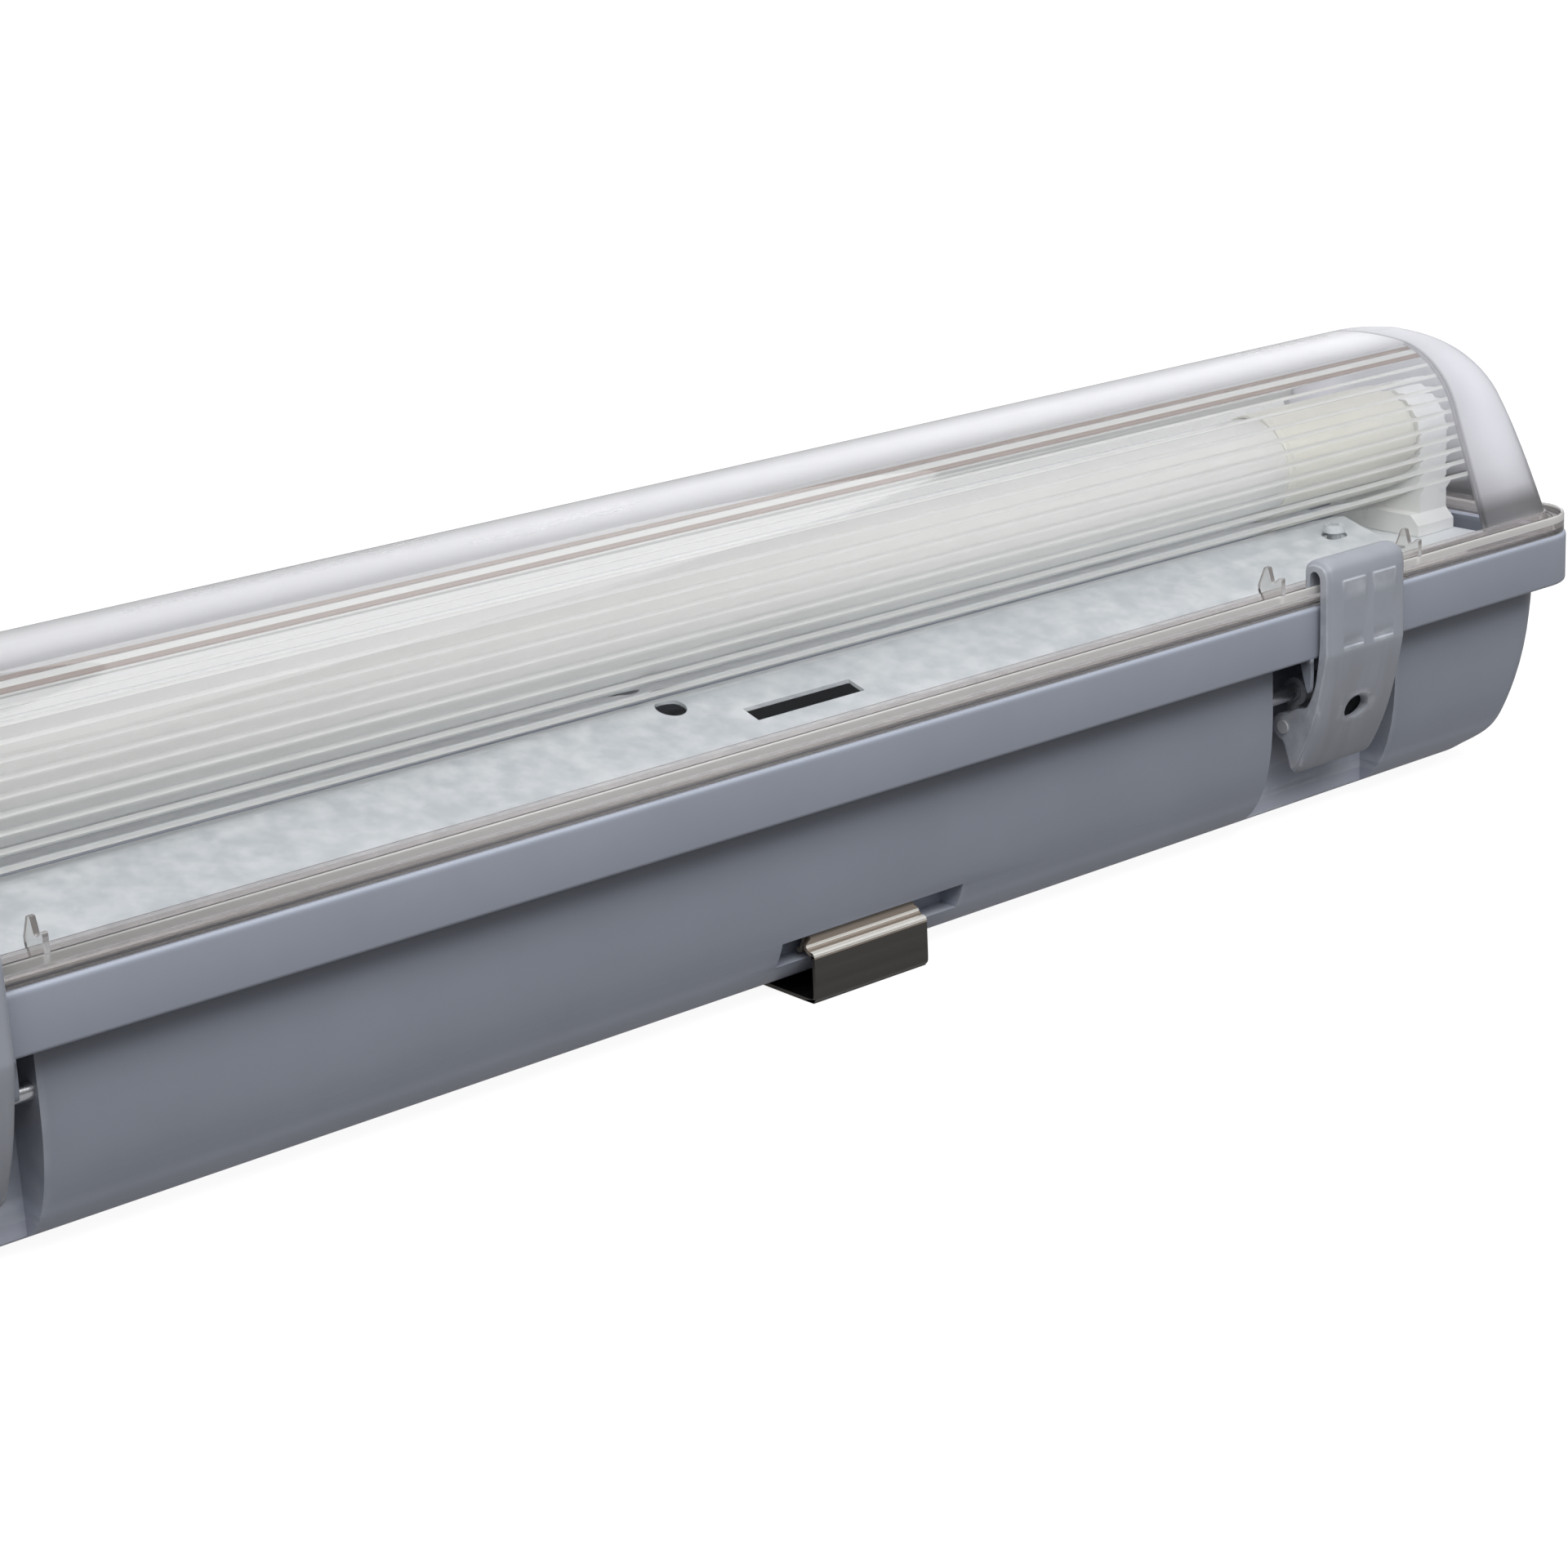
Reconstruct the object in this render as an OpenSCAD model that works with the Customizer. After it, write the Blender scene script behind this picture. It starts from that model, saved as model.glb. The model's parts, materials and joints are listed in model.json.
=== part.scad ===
// Vapor tight light fixture for one 1200 mm tube.
// Millimetres. Origin at the middle of the underside of the mounting clips,
// +X along the fixture, +Z out through the clear diffuser. Under a ceiling
// the fixture hangs the other way up.

/* [Housing] */
// Overall length of the fixture
body_l = 1250; // [1244:1:1262]
// Width over the flange
body_w = 90; // [88:1:94]
// Corner radius of the flange, seen from above
flange_r = 12; // [11:0.5:14]
// Underside of the flange band
flange_z0 = 45.2; // [44.6:0.1:46]
// Top of the flange band
flange_z1 = 56.8; // [56.4:0.1:57]
// Underside of the housing, above the base of the clips
floor_z = 2.4; // [2.4:0.1:3]
// Wall thickness of the moulding
wall = 2.2; // [2:0.1:2.6]

/* [Diffuser] */
// Height of the crown of the diffuser
crown_z = 104; // [102:0.5:106]
// Wall thickness of the diffuser
dome_t = 2.2; // [1.8:0.1:2.6]

/* [Latches] */
// Distance between neighbouring latches on a side
latch_pitch = 360; // [350:1:362]
// Width of a latch lever
latch_w = 27; // [24:0.5:30]
// Diameter of the fixed axle bar
axle_d = 3.6; // [3:0.1:4]
// Diameter of the lever pin
pin_d = 3.2; // [2.8:0.1:3.4]

/* [Tube] */
// Distance between the outer faces of the two end caps
tube_l = 1199.4; // [1198:0.2:1199.4]
// Diameter of the light tube
tube_d = 25.6; // [25:0.1:26]
// Height of the tube's axis
tube_z = 78; // [77.5:0.1:79]
// Length of an end cap
cap_l = 47; // [20:1:50]

/* [Clips] */
// Distance between the two mounting clips
clip_pitch = 790.6; // [780:0.2:800]
// Width of a clip along the fixture
clip_w = 31.6; // [28:0.2:36]
// Diameter of the screw hole in a clip
clip_hole_d = 5.2; // [4.2:0.1:6]

/* [Hidden] */
$fn = 64;

hw = body_w/2;             // half width of the flange
hl = body_l/2;             // half length
bw = hw - 6;               // half width of the body below the flange
bl = hl - 6.6;             // half length of the body
ease = 0.05;               // radial running fit of a pin in its bore

// latch geometry, u outwards from the middle plane, v upwards
ax_u = hw - 8.8;           // fixed axle
ax_v = 34.6;
pn_u = ax_u - 1.5;         // lever pin, just past dead centre
pn_v = ax_v - 8.3;
pocket_h = 21.3;           // half width of a latch pocket
pocket_u = hw - 17;        // back wall of a latch pocket
latch_x = [-1.5*latch_pitch, -0.5*latch_pitch, 0.5*latch_pitch, 1.5*latch_pitch];

clip_x = clip_pitch/2;
notch_x = clip_x + 2.5;    // middle of a clip window
notch_h = 25.4;            // half width of a clip window
notch_u = hw - 16;         // back wall of a clip window
notch_z0 = 9.2;            // ledge that the clip's lip rests over
notch_z1 = 15.1;           // top edge of a clip window

tray_e = hw - 11;          // half width of the gear tray
tray_l = hl - 45;          // half length of the gear tray
tray_ze = 53.9;            // height of the tray's long edges
tray_s = 0.287;            // slope of the tray's sides
tray_flat = 6;             // half width of the flat ridge

end_x = tube_l/2;          // outer face of a tube cap
grom_z = 26;               // height of the cable inlets

// ---------- helpers ----------

// rounded rectangle
module rr(l, w, r) {
  square([l - 2*r, w], center = true);
  square([l, w - 2*r], center = true);
  for (sx = [-1, 1], sy = [-1, 1])
    translate([sx*(l/2 - r), sy*(w/2 - r)]) circle(r = r);
}

// profile in the YZ plane, extruded along X between x0 and x1
module along_x(x0, x1) {
  translate([x0, 0, 0]) rotate([90, 0, 90]) linear_extrude(height = x1 - x0) children();
}

// elevation in the XZ plane, extruded across the whole width
module across_y() {
  translate([0, 120, 0]) rotate([90, 0, 0]) linear_extrude(height = 240) children();
}

// round bar along X
module bar_x(x0, x1, r, fn = 64) {
  translate([x0, 0, 0]) rotate([0, 90, 0]) cylinder(r = r, h = x1 - x0, $fn = fn);
}

// one side of a tub outline: half size w, side blend a, exponent n, inset t
function tub(w, a, zt, zc, zb, t, n, k = 7) = concat(
  [[w - t, zt]],
  [for (i = [0:k]) let(p = 90*i/k)
    [(w - a) + (a - t)*pow(cos(p), 2/n), zc - (zc - zb - t)*pow(sin(p), 2/n)]]);
function mirrored(p) = [for (i = [len(p)-1:-1:0]) [-p[i][0], p[i][1]]];

// one side of the diffuser outline, inset t: straight flank, shoulder arc, crown arc
shoulder_r = 22;
crown_r = 77;
fl = 19.6;                             // lean of the flank
dz = crown_z - 104;
dome_c = [6.74, 81.6 + dz];
function dome(t, s = 0) = concat(
  [[38.15 + (hw - 45) - t/cos(fl), 59]],
  [for (a = [fl:(83 - fl)/8:83.01]) [dome_c[0] + (hw - 45) + (shoulder_r - t)*cos(a), dome_c[1] + (shoulder_r - t)*sin(a)]],
  [for (a = [86:3.5:89.9]) [(crown_r - t)*cos(a)*(1 + (hw - 45)/45), 26.97 + dz + (crown_r - t)*sin(a)]]);
function dome_end(t) = concat(
  [[hl - 4.0 - t, 59]], [[hl - 5.4 - t, 72]],
  [for (a = [6:14:90]) [hl - 25 + (16 - t)*cos(a), crown_z - 16 + (16 - t)*sin(a)]]);

// ---------- housing ----------

// end of the tub, inset t: leaning wall, tight corner and a foot that stands lower than the ends
function tub_end(t) = [
  [bl - t, 49], [bl - t, 44], [bl - 0.3 - t, 40], [bl - 0.9 - t, 36], [bl - 2.6 - t, 28], [bl - 4.9 - t, 20],
  [bl - 7.2 - t, 12 + 0.3*t], [bl - 8 - t, 9.6 + 0.5*t], [bl - 9.8 - t, 7.5 + 0.7*t], [bl - 12.4 - t, 6.2 + 0.9*t],
  [bl - 15.8 - t, 5.4 + t], [bl - 18 - t, floor_z + 1.8 + t], [bl - 20 - t, floor_z + 0.2 + t], [bl - 22.4 - t, floor_z + t]];

module tub_solid(t) {
  intersection() {
    translate([0, 0, floor_z + t]) linear_extrude(height = 48 - floor_z - t)
      rr(2*(bl - t), 2*(bw - t), 10 - t);
    along_x(-hl, hl) polygon(concat(tub(bw, 17, 49, 34, floor_z, t, 2.35), mirrored(tub(bw, 17, 49, 34, floor_z, t, 2.35))));
    across_y() polygon(concat(tub_end(t), mirrored(tub_end(t))));
  }
}

module pockets(g) {
  for (s = [-1, 1], x = latch_x)
    translate([x, s*(pocket_u - g + 15), 22]) cube([2*(pocket_h + g), 30, 2*(flange_z0 - 22 + g)], center = true);
}

// windows for the clips, grown by g, from height z0 upwards
module notches(g, z0) {
  for (s = [-1, 1], x = [-notch_x, notch_x])
    translate([x, s*(notch_u - g + 15), (z0 + notch_z1 + g)/2]) cube([2*(notch_h + g), 30, notch_z1 + g - z0], center = true);
}

module flange_ring() {
  difference() {
    translate([0, 0, flange_z0]) linear_extrude(height = flange_z1 - flange_z0) rr(body_l, body_w, flange_r);
    // gasket channel
    difference() {
      translate([0, 0, flange_z0 + 2.2]) linear_extrude(height = 12) rr(body_l - 4.6, body_w - 4.6, flange_r - 2.3);
      translate([0, 0, flange_z0]) linear_extrude(height = 14) rr(2*(bl + 0.4), 2*(bw + 0.4), 10.4);
    }
    translate([0, 0, 40]) linear_extrude(height = 30) rr(2*(bl - wall), 2*(bw - wall), 10 - wall);
  }
}

module housing() {
  color([0.50, 0.53, 0.58]) difference() {
    union() {
      difference() {
        union() {
          difference() {
            tub_solid(0);
            pockets(0);
            notches(0, notch_z0);
          }
          flange_ring();
        }
        // gear compartment
        difference() {
          union() {
            tub_solid(wall);
            translate([0, 0, 44]) linear_extrude(height = 30) rr(2*(bl - wall), 2*(bw - wall), 10 - wall);
          }
          pockets(wall);
          notches(wall, -1);
        }
      }
      // posts for the tray screws
      for (x = [-1, 1], y = [-1, 1])
        translate([x*(hl - 55.5), y*11.8, floor_z + 1]) cylinder(r = 4, h = 52.5 - floor_z);
      // flat round pads for the cable inlets
      for (m = [0, 1]) mirror([m, 0, 0]) translate([0, 0, grom_z]) bar_x(bl - 12.2, bl, 15.2);
      // pads for the terminal block
      translate([-489, 0, floor_z + 2.6]) cube([20, 24, 3.2], center = true);
    }
    // bores for the tray screws
    for (x = [-1, 1], y = [-1, 1])
      translate([x*(hl - 55.5), y*11.8, 40]) cylinder(r = 1.7, h = 30);
    // bores for the latch axles
    for (s = [-1, 1], x = latch_x)
      translate([x, s*ax_u, ax_v]) bar_x(-pocket_h - 1.7, pocket_h + 1.7, axle_d/2 + ease);
    // cable inlets
    for (s = [-1, 1]) translate([s*(bl - 8), 0, grom_z]) bar_x(-12, 12, 10);
  }
}

module gasket() {
  color([0.20, 0.20, 0.21]) translate([0, 0, flange_z0 + 2.3]) linear_extrude(height = 5) difference() {
    rr(body_l - 5.6, body_w - 5.6, flange_r - 2.8);
    rr(2*(bl + 0.8), 2*(bw + 0.8), 10.8);
  }
}

// ---------- diffuser ----------

module dome_solid(t) {
  intersection() {
    translate([0, 0, 57]) linear_extrude(height = 60) rr(2*(hl - 4 - t), 2*(hw - 6.85) + 0.4 - 2*t, 5.5 - t);
    along_x(-hl, hl) polygon(concat(dome(t), mirrored(dome(t))));
    across_y() polygon(concat(dome_end(t), mirrored(dome_end(t))));
  }
}

module diffuser() {
  color([0.86, 0.88, 0.88, 0.45]) union() {
    difference() {
      union() {
        // rim plate, outer bead and tongue
        translate([0, 0, flange_z1 + 0.1]) linear_extrude(height = 2.5) rr(body_l - 1, body_w - 1, flange_r - 0.5);
        difference() {
          translate([0, 0, flange_z1 + 1]) linear_extrude(height = 3.7) rr(body_l - 1, body_w - 1, flange_r - 0.5);
          translate([0, 0, flange_z1]) linear_extrude(height = 9) rr(body_l - 2.8, body_w - 2.8, flange_r - 1.4);
        }
        difference() {
          translate([0, 0, flange_z0 + 7.4]) linear_extrude(height = 5) rr(body_l - 6.4, body_w - 6.4, flange_r - 3.2);
          translate([0, 0, flange_z0]) linear_extrude(height = 20) rr(2*(bl + 1.2), 2*(bw + 1.2), 11.2);
        }
        translate([0, 0, 0.39]) dome_solid(0);
      }
      // inside of the dome, open below
      translate([0, 0, 0.39]) dome_solid(dome_t);
      translate([0, 0, 50]) linear_extrude(height = 9.45) rr(2*(hl - 4 - dome_t), 2*(hw - 6.85 - dome_t), 3.3);
    }
    // locating lugs on both sides of each latch
    for (s = [-1, 1], x = latch_x, e = [-1, 1])
      translate([x + e*23.5 - 0.6, 0, 0]) rotate([90, 0, 90]) linear_extrude(height = 1.2)
        polygon([[s*(hw - 0.6), 59], [s*(hw - 0.6), 65.4], [s*(hw - 1.6), 65.4], [s*(hw - 3.4), 64], [s*(hw - 4.8), 67.4],
                 [s*(hw - 6), 67.4], [s*(hw - 8.2), 62.6], [s*(hw - 8.2), 59]]);
  }
}

// ---------- gear tray and lampholders ----------

function tray_z(y) = tray_ze + tray_s*(tray_e - max(abs(y), tray_flat));

module tray_profile(d) {
  polygon([[-tray_e, tray_ze - 6], [-tray_e, tray_ze], [-tray_flat, tray_z(0)], [tray_flat, tray_z(0)], [tray_e, tray_ze], [tray_e, tray_ze - 6],
    [tray_e - d, tray_ze - 6], [tray_e - d, tray_ze - d], [tray_flat, tray_z(0) - d], [-tray_flat, tray_z(0) - d], [-tray_e + d, tray_ze - d], [-tray_e + d, tray_ze - 6]]);
}

module gear_tray() {
  color([0.93, 0.94, 0.93]) difference() {
    along_x(-tray_l, tray_l) tray_profile(0.8);
    for (sx = [-1, 1], sy = [-1, 1]) {
      // slots over the clips
      translate([sx*396.5, sy*17.5, 60]) cube([29.4, 5.2, 12], center = true);
      // cable holes
      translate([sx*368.3, sy*8, 52]) cylinder(r = 3.4, h = 20);
      // screw holes
      hull() for (e = [-1.7, 1.7]) translate([sx*(hl - 55.5) + e, sy*11.8, 52]) cylinder(r = 1.95, h = 20);
    }
    // ventilation slots along the ridge
    for (x = [-120:120:120]) translate([x, 0, 60]) cube([40, 4, 12], center = true);
  }
}

module tray_screws() {
  color([0.75, 0.75, 0.76])
    for (x = [-1, 1], y = [-1, 1]) translate([x*(hl - 55.5), y*11.8, 0]) difference() {
      union() {
        translate([0, 0, 61.1]) cylinder(r1 = 2.7, r2 = 2.3, h = 1.7, $fn = 48);
        translate([0, 0, 41]) cylinder(r = 1.65, h = 20.6);
      }
      for (a = [0, 90]) rotate([0, 0, a]) translate([0, 0, 62.9]) cube([3, 0.7, 1.6], center = true);
    }
}

// steel bracket between the tray and a lampholder
module holder_bracket(s) {
  color([0.90, 0.91, 0.90]) difference() {
    union() {
      translate([s*(hl - 38), 0, 54.2]) cube([48, 50, 1.2], center = true);
      translate([s*(hl - 14.6), 0, 50.4]) cube([1.2, 50, 8.8], center = true);
    }
    for (y = [-1, 1]) translate([s*(hl - 55.5), y*11.8, 50]) cylinder(r = 2.2, h = 10);
    // openings for the lead and the foot of the lampholder
    translate([s*(hl - 20), 0, 54]) cube([7, 9, 4], center = true);
    for (y = [-1, 1]) translate([s*(hl - 38), y*17, 50]) cylinder(r = 2.1, h = 10);
  }
}
module lampholder_bracket_left() { holder_bracket(-1); }
module lampholder_bracket_right() { holder_bracket(1); }

// push-in lampholder for two pins, entered from the top
module lampholder(s) {
  color([0.95, 0.95, 0.93]) mirror([s < 0 ? 1 : 0, 0, 0]) difference() {
    union() {
      along_x(end_x + 0.3, end_x + 10.3) union() {
        translate([0, tube_z]) circle(r = 12.6);
        translate([-12.6, 57]) square([25.2, tube_z - 57]);
      }
      along_x(end_x - 3, end_x + 10.3) polygon([[-15, 54.9], [-15, 57.6], [-12.6, 60], [12.6, 60], [15, 57.6], [15, 54.9]]);
      // snap foot through the bracket
      translate([hl - 20, 0, 53]) cube([6.4, 8.4, 5], center = true);
    }
    // seat of the rotor and slot for the pins
    translate([0, 0, tube_z]) bar_x(end_x - 1, end_x + 8, 8.3);
    translate([end_x + 3.4, 0, tube_z + 10]) cube([9.2, 3.2, 20], center = true);
    // cable entries below
    for (y = [-3, 3]) translate([end_x + 5.4, y - 0.0, 50]) cylinder(r = 1.3, h = 12, $fn = 32);
  }
}
module lampholder_left() { lampholder(-1); }
module lampholder_right() { lampholder(1); }

module rotor(s) {
  color([0.97, 0.97, 0.96]) mirror([s < 0 ? 1 : 0, 0, 0]) difference() {
    translate([0, 0, tube_z]) bar_x(end_x + 0.5, end_x + 7.7, 8);
    translate([end_x + 3.5, 0, tube_z]) cube([8, 18, 2.5], center = true);
  }
}
module rotor_left() { rotor(-1); }
module rotor_right() { rotor(1); }

// ---------- light tube ----------

module tube_shell() {
  color([0.96, 0.97, 0.98]) translate([0, 0, tube_z]) difference() {
    bar_x(-(end_x - cap_l + 8), end_x - cap_l + 8, tube_d/2 - 0.3);
    bar_x(-end_x, end_x, tube_d/2 - 1.4);
  }
}

module tube_cap(s) {
  color([0.93, 0.92, 0.86]) mirror([s < 0 ? 1 : 0, 0, 0]) translate([0, 0, tube_z]) difference() {
    union() {
      bar_x(end_x - cap_l, end_x - 1.2, tube_d/2 + 0.2);
      bar_x(end_x - 1.3, end_x, tube_d/2 - 0.6);
    }
    bar_x(end_x - cap_l - 1, end_x - cap_l + 8.2, tube_d/2 - 0.28);
    bar_x(end_x - cap_l + 8, end_x - 2, tube_d/2 - 1.4);
    for (y = [-1, 1]) translate([0, y*6.35, 0]) bar_x(end_x - 6, end_x + 1, 1.18, 32);
  }
}
module tube_cap_left() { tube_cap(-1); }
module tube_cap_right() { tube_cap(1); }

module tube_pins() {
  color([0.80, 0.68, 0.40]) for (s = [-1, 1], y = [-1, 1])
    mirror([s < 0 ? 1 : 0, 0, 0]) translate([0, y*6.35, tube_z]) bar_x(end_x - 5, end_x + 7.1, 1.16, 32);
}

module led_board() {
  color([0.85, 0.86, 0.86]) translate([0, 0, tube_z]) intersection() {
    translate([0, 0, -4]) cube([2*(end_x - cap_l + 4), 20.6, 1.6], center = true);
    bar_x(-end_x, end_x, tube_d/2 - 1.6);
  }
}

module led_chips() {
  color([0.97, 0.90, 0.55]) for (i = [0:35])
    translate([-(end_x - cap_l - 12) + i*(2*(end_x - cap_l - 12)/35), 0, tube_z - 2.65]) cube([5.6, 3, 1.0], center = true);
}

module led_driver() {
  color([0.20, 0.45, 0.30]) translate([end_x - 25, 0, tube_z]) {
    translate([1, 0, -5.4]) cube([34, 16, 1.4], center = true);
    translate([-6, 0, -0.7]) cube([10, 10, 8], center = true);
    translate([9, 0, -1.7]) cylinder(r = 4, h = 7, center = true, $fn = 32);
  }
}

// ---------- wiring ----------

blk_x = -489;
module terminal_block() {
  color([0.92, 0.92, 0.90]) difference() {
    translate([blk_x, 0, floor_z + 12.2]) cube([22, 36, 16], center = true);
    for (y = [-11, 0, 11]) {
      translate([blk_x, y, floor_z + 10]) bar_x(-12, 12, 2.2, 32);
      for (x = [-5, 5]) translate([blk_x + x, y, floor_z + 12]) cylinder(r = 2.1, h = 12, $fn = 32);
    }
    for (y = [-5.5, 5.5]) translate([blk_x, y, floor_z + 19]) cube([30, 1.6, 6], center = true);
  }
}
module terminal_screws() {
  color([0.72, 0.66, 0.42]) for (x = [-5, 5], y = [-11, 0, 11])
    translate([blk_x + x, y, floor_z + 12.9]) difference() {
      cylinder(r = 1.8, h = 4.6, $fn = 32);
      translate([0, 0, 4.4]) cube([4, 0.6, 1.2], center = true);
    }
}

module earth_screw() {
  color([0.78, 0.77, 0.72]) translate([-(hl - 38), -17, 0]) {
    translate([0, 0, 54.85]) cylinder(r = 3.4, h = 1.9, $fn = 48);
    translate([0, 0, 46]) cylinder(r = 1.9, h = 9, $fn = 48);
    translate([0, 0, 51.2]) difference() { cylinder(r = 3.2, h = 2.3, $fn = 6); translate([0, 0, -1]) cylinder(r = 1.85, h = 5); }
  }
}

// insulated lead swept along its route
function unit(v) = v/norm(v);
function dir(p, i) = unit(p[min(i + 1, len(p) - 1)] - p[max(i - 1, 0)]);
function ring(p, i, r, n) = let(d = dir(p, i), a = unit(cross(d, abs(d[1]) > 0.9 ? [1, 0, 0] : [0, 1, 0])), b = cross(d, a))
  [for (k = [0:n-1]) p[i] + r*(cos(360*k/n)*a + sin(360*k/n)*b)];
module lead(p, r, n = 8) {
  m = len(p);
  polyhedron(
    points = [for (i = [0:m-1], q = ring(p, i, r, n)) q],
    faces = concat([[for (k = [0:n-1]) k]],
      [for (i = [0:m-2], k = [0:n-1]) [i*n + k, (i+1)*n + k, (i+1)*n + (k+1)%n, i*n + (k+1)%n]],
      [[for (k = [n-1:-1:0]) (m-1)*n + k]]));
}
// a rounded corner on a route, from point a by corner c to point b
function bend(a, c, b, r) = let(u = unit(a - c), w = unit(b - c))
  [for (t = [0:0.25:1]) c + r*((1-t)*(1-t)*u + t*t*w)];
function route(q, r) = concat([q[0]],
  [for (i = [1:len(q)-2], v = bend(q[i-1], q[i], q[i+1], r)) v], [q[len(q)-1]]);

lead_z = floor_z + 10;
hx = end_x + 5.4;
module wire_live() {
  color([0.45, 0.26, 0.12]) lead(route([[blk_x - 4, -11, lead_z], [-512, -11, lead_z], [-532, -3, lead_z], [-586, -3, 14], [-596, -3, 22], [-hx, -3, 50], [-hx, -3, 58]], 6), 1.1);
}
module wire_neutral() {
  color([0.15, 0.30, 0.62]) lead(route([[blk_x + 4, 0, lead_z], [-460, 0, lead_z], [-440, 4, 9], [440, 4, 9], [582, 3, 13], [596, 3, 22], [hx, 3, 50], [hx, 3, 58]], 6), 1.1);
}
module wire_earth() {
  color([0.35, 0.55, 0.18]) lead(route([[blk_x - 4, 11, lead_z], [-512, 11, lead_z], [-532, 3, lead_z], [-579, 3, 17], [-(hl - 38), -17, 34], [-(hl - 38), -17, 45.6]], 5), 1.1);
}

// ---------- cable inlets ----------

module grommet(s, open) {
  color([0.16, 0.16, 0.17]) mirror([s < 0 ? 1 : 0, 0, 0]) translate([0, 0, grom_z]) difference() {
    union() {
      bar_x(bl + 0.05, bl + 4.6, 13.5);
      bar_x(bl - 12.5, bl + 0.1, 9.8);
      bar_x(bl - 15.2, bl - 12.4, 11.4);
    }
    bar_x(bl - 16, bl + 1.6, 7.4);
    if (open) bar_x(bl - 1, bl + 6, 4.25);
    difference() { bar_x(bl + 3.2, bl + 6, 11.6); bar_x(bl + 3, bl + 4, 6.6); bar_x(bl - 3, bl + 7, 5.6); }
  }
}
module cable_grommet_left() { grommet(-1, true); }
module cable_grommet_right() { grommet(1, false); }

// ---------- mounting clips ----------

module clip_half(t) {
  // u outwards, v upwards; upright face, rolled edge, shelf, upright shoulder and a lip over the window's ledge
  polygon([[0, 0], [hw - 7.6, 0], [hw - 6.95, 0.65], [hw - 6.95, 9.60], [hw - 6.95, 10.32], [hw - 7.03, 10.77],
    [hw - 7.35, 11.18], [hw - 7.80, 11.37], [hw - 8.21, 11.44], [hw - 8.65, 11.57], [hw - 9.08, 11.78], [hw - 9.39, 12.05],
    [hw - 9.53, 12.30], [hw - 9.56, 12.82], [hw - 9.60, 13.65], [hw - 9.78, 14.21], [hw - 10.27, 14.69], [hw - 11.00, 14.79],
    [hw - 11.65, 14.36], [hw - 12.11, 13.57], [hw - 12.52, 12.55], [hw - 12.97, 11.46], [hw - 13.33, 10.68], [hw - 13.47, 10.54],
    [hw - 13.55, 10.61], [hw - 13.78, 10.94], [hw - 14.42, 10.46], [hw - 14.05, 9.99], [hw - 13.33, 9.76], [hw - 12.67, 10.22],
    [hw - 12.23, 11.14], [hw - 11.78, 12.25], [hw - 11.39, 13.23], [hw - 11.05, 13.84], [hw - 10.80, 14.01], [hw - 10.63, 13.97],
    [hw - 10.46, 13.79], [hw - 10.40, 13.55], [hw - 10.36, 12.78], [hw - 10.31, 12.10], [hw - 10.01, 11.55], [hw - 9.52, 11.12],
    [hw - 8.95, 10.83], [hw - 8.39, 10.66], [hw - 8.00, 10.59], [hw - 7.81, 10.54], [hw - 7.77, 10.47], [hw - 7.75, 10.28],
    [hw - 7.75, 9.60], [hw - 7.75, t], [0, t]]);
}
module mount_clip(x) {
  color([0.72, 0.71, 0.70]) difference() {
    union() {
      for (m = [0, 1]) mirror([0, m, 0]) along_x(x - clip_w/2, x + clip_w/2) clip_half(1);
      // raised pads that carry the housing
      for (y = [-17, 17]) translate([x, y, 0.5]) cylinder(r1 = 6, r2 = 4.5, h = 1.85);
    }
    translate([x, 0, -1]) cylinder(r = clip_hole_d/2, h = 4);
    // hollow of the pads
    for (y = [-17, 17]) translate([x, y, -0.5]) cylinder(r1 = 5, r2 = 3.5, h = 1.85);
  }
}
module mount_clip_left() { mount_clip(-clip_x); }
module mount_clip_right() { mount_clip(clip_x); }

// ---------- latches ----------

module latch_axles() {
  color([0.62, 0.63, 0.64]) for (s = [-1, 1], x = latch_x)
    translate([x, s*ax_u, ax_v]) bar_x(-pocket_h - 1.5, pocket_h + 1.5, axle_d/2);
}

// plate of the lever with its hook, u outwards, v upwards
module lever_plate() {
  polygon([[hw - 4, 59.9], [hw - 4.2, 62], [hw - 4.2, 65], [hw - 3.2, 66.8], [hw - 1, 67.5], [hw + 1.6, 67.2], [hw + 3.2, 65.6],
    [hw + 3.7, 63], [hw + 3.7, 50], [hw + 3.1, 44], [hw + 2.3, 38], [hw + 1.5, 31], [hw + 0.3, 25], [hw - 1.5, 20.4],
    [hw - 4, 17.2], [hw - 7.6, 15.4], [hw - 8.2, 16.8], [hw - 5, 19], [hw - 3.2, 22], [hw - 2, 26], [hw - 1, 31.2],
    [hw - 0.2, 38], [hw + 0.8, 44.5], [hw + 1.2, 50], [hw + 1.2, 62], [hw + 0.8, 64.2], [hw - 0.3, 65], [hw - 1.4, 64.6],
    [hw - 1.9, 63.4], [hw - 2, 59.9]]);
}
// side cheek with the ear for the pin
module lever_cheek() {
  difference() {
    union() {
      polygon([[hw + 0.5, 43.8], [hw - 1.6, 42], [hw - 3.1, 39], [hw - 3.7, 36.4], [hw - 3.3, 34.2], [hw - 2.4, 32.4], [hw - 3, 30.6],
        [hw - 4.4, 29.9], [hw - 6.2, 29.8], [pn_u, pn_v + 3.4], [pn_u, pn_v - 3.4], [hw - 6.8, 19], [hw - 5, 19], [hw - 2.6, 22], [hw - 0.6, 31]]);
      translate([pn_u, pn_v]) circle(r = 3.4);
    }
    translate([pn_u, pn_v]) circle(r = pin_d/2);
  }
}
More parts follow.
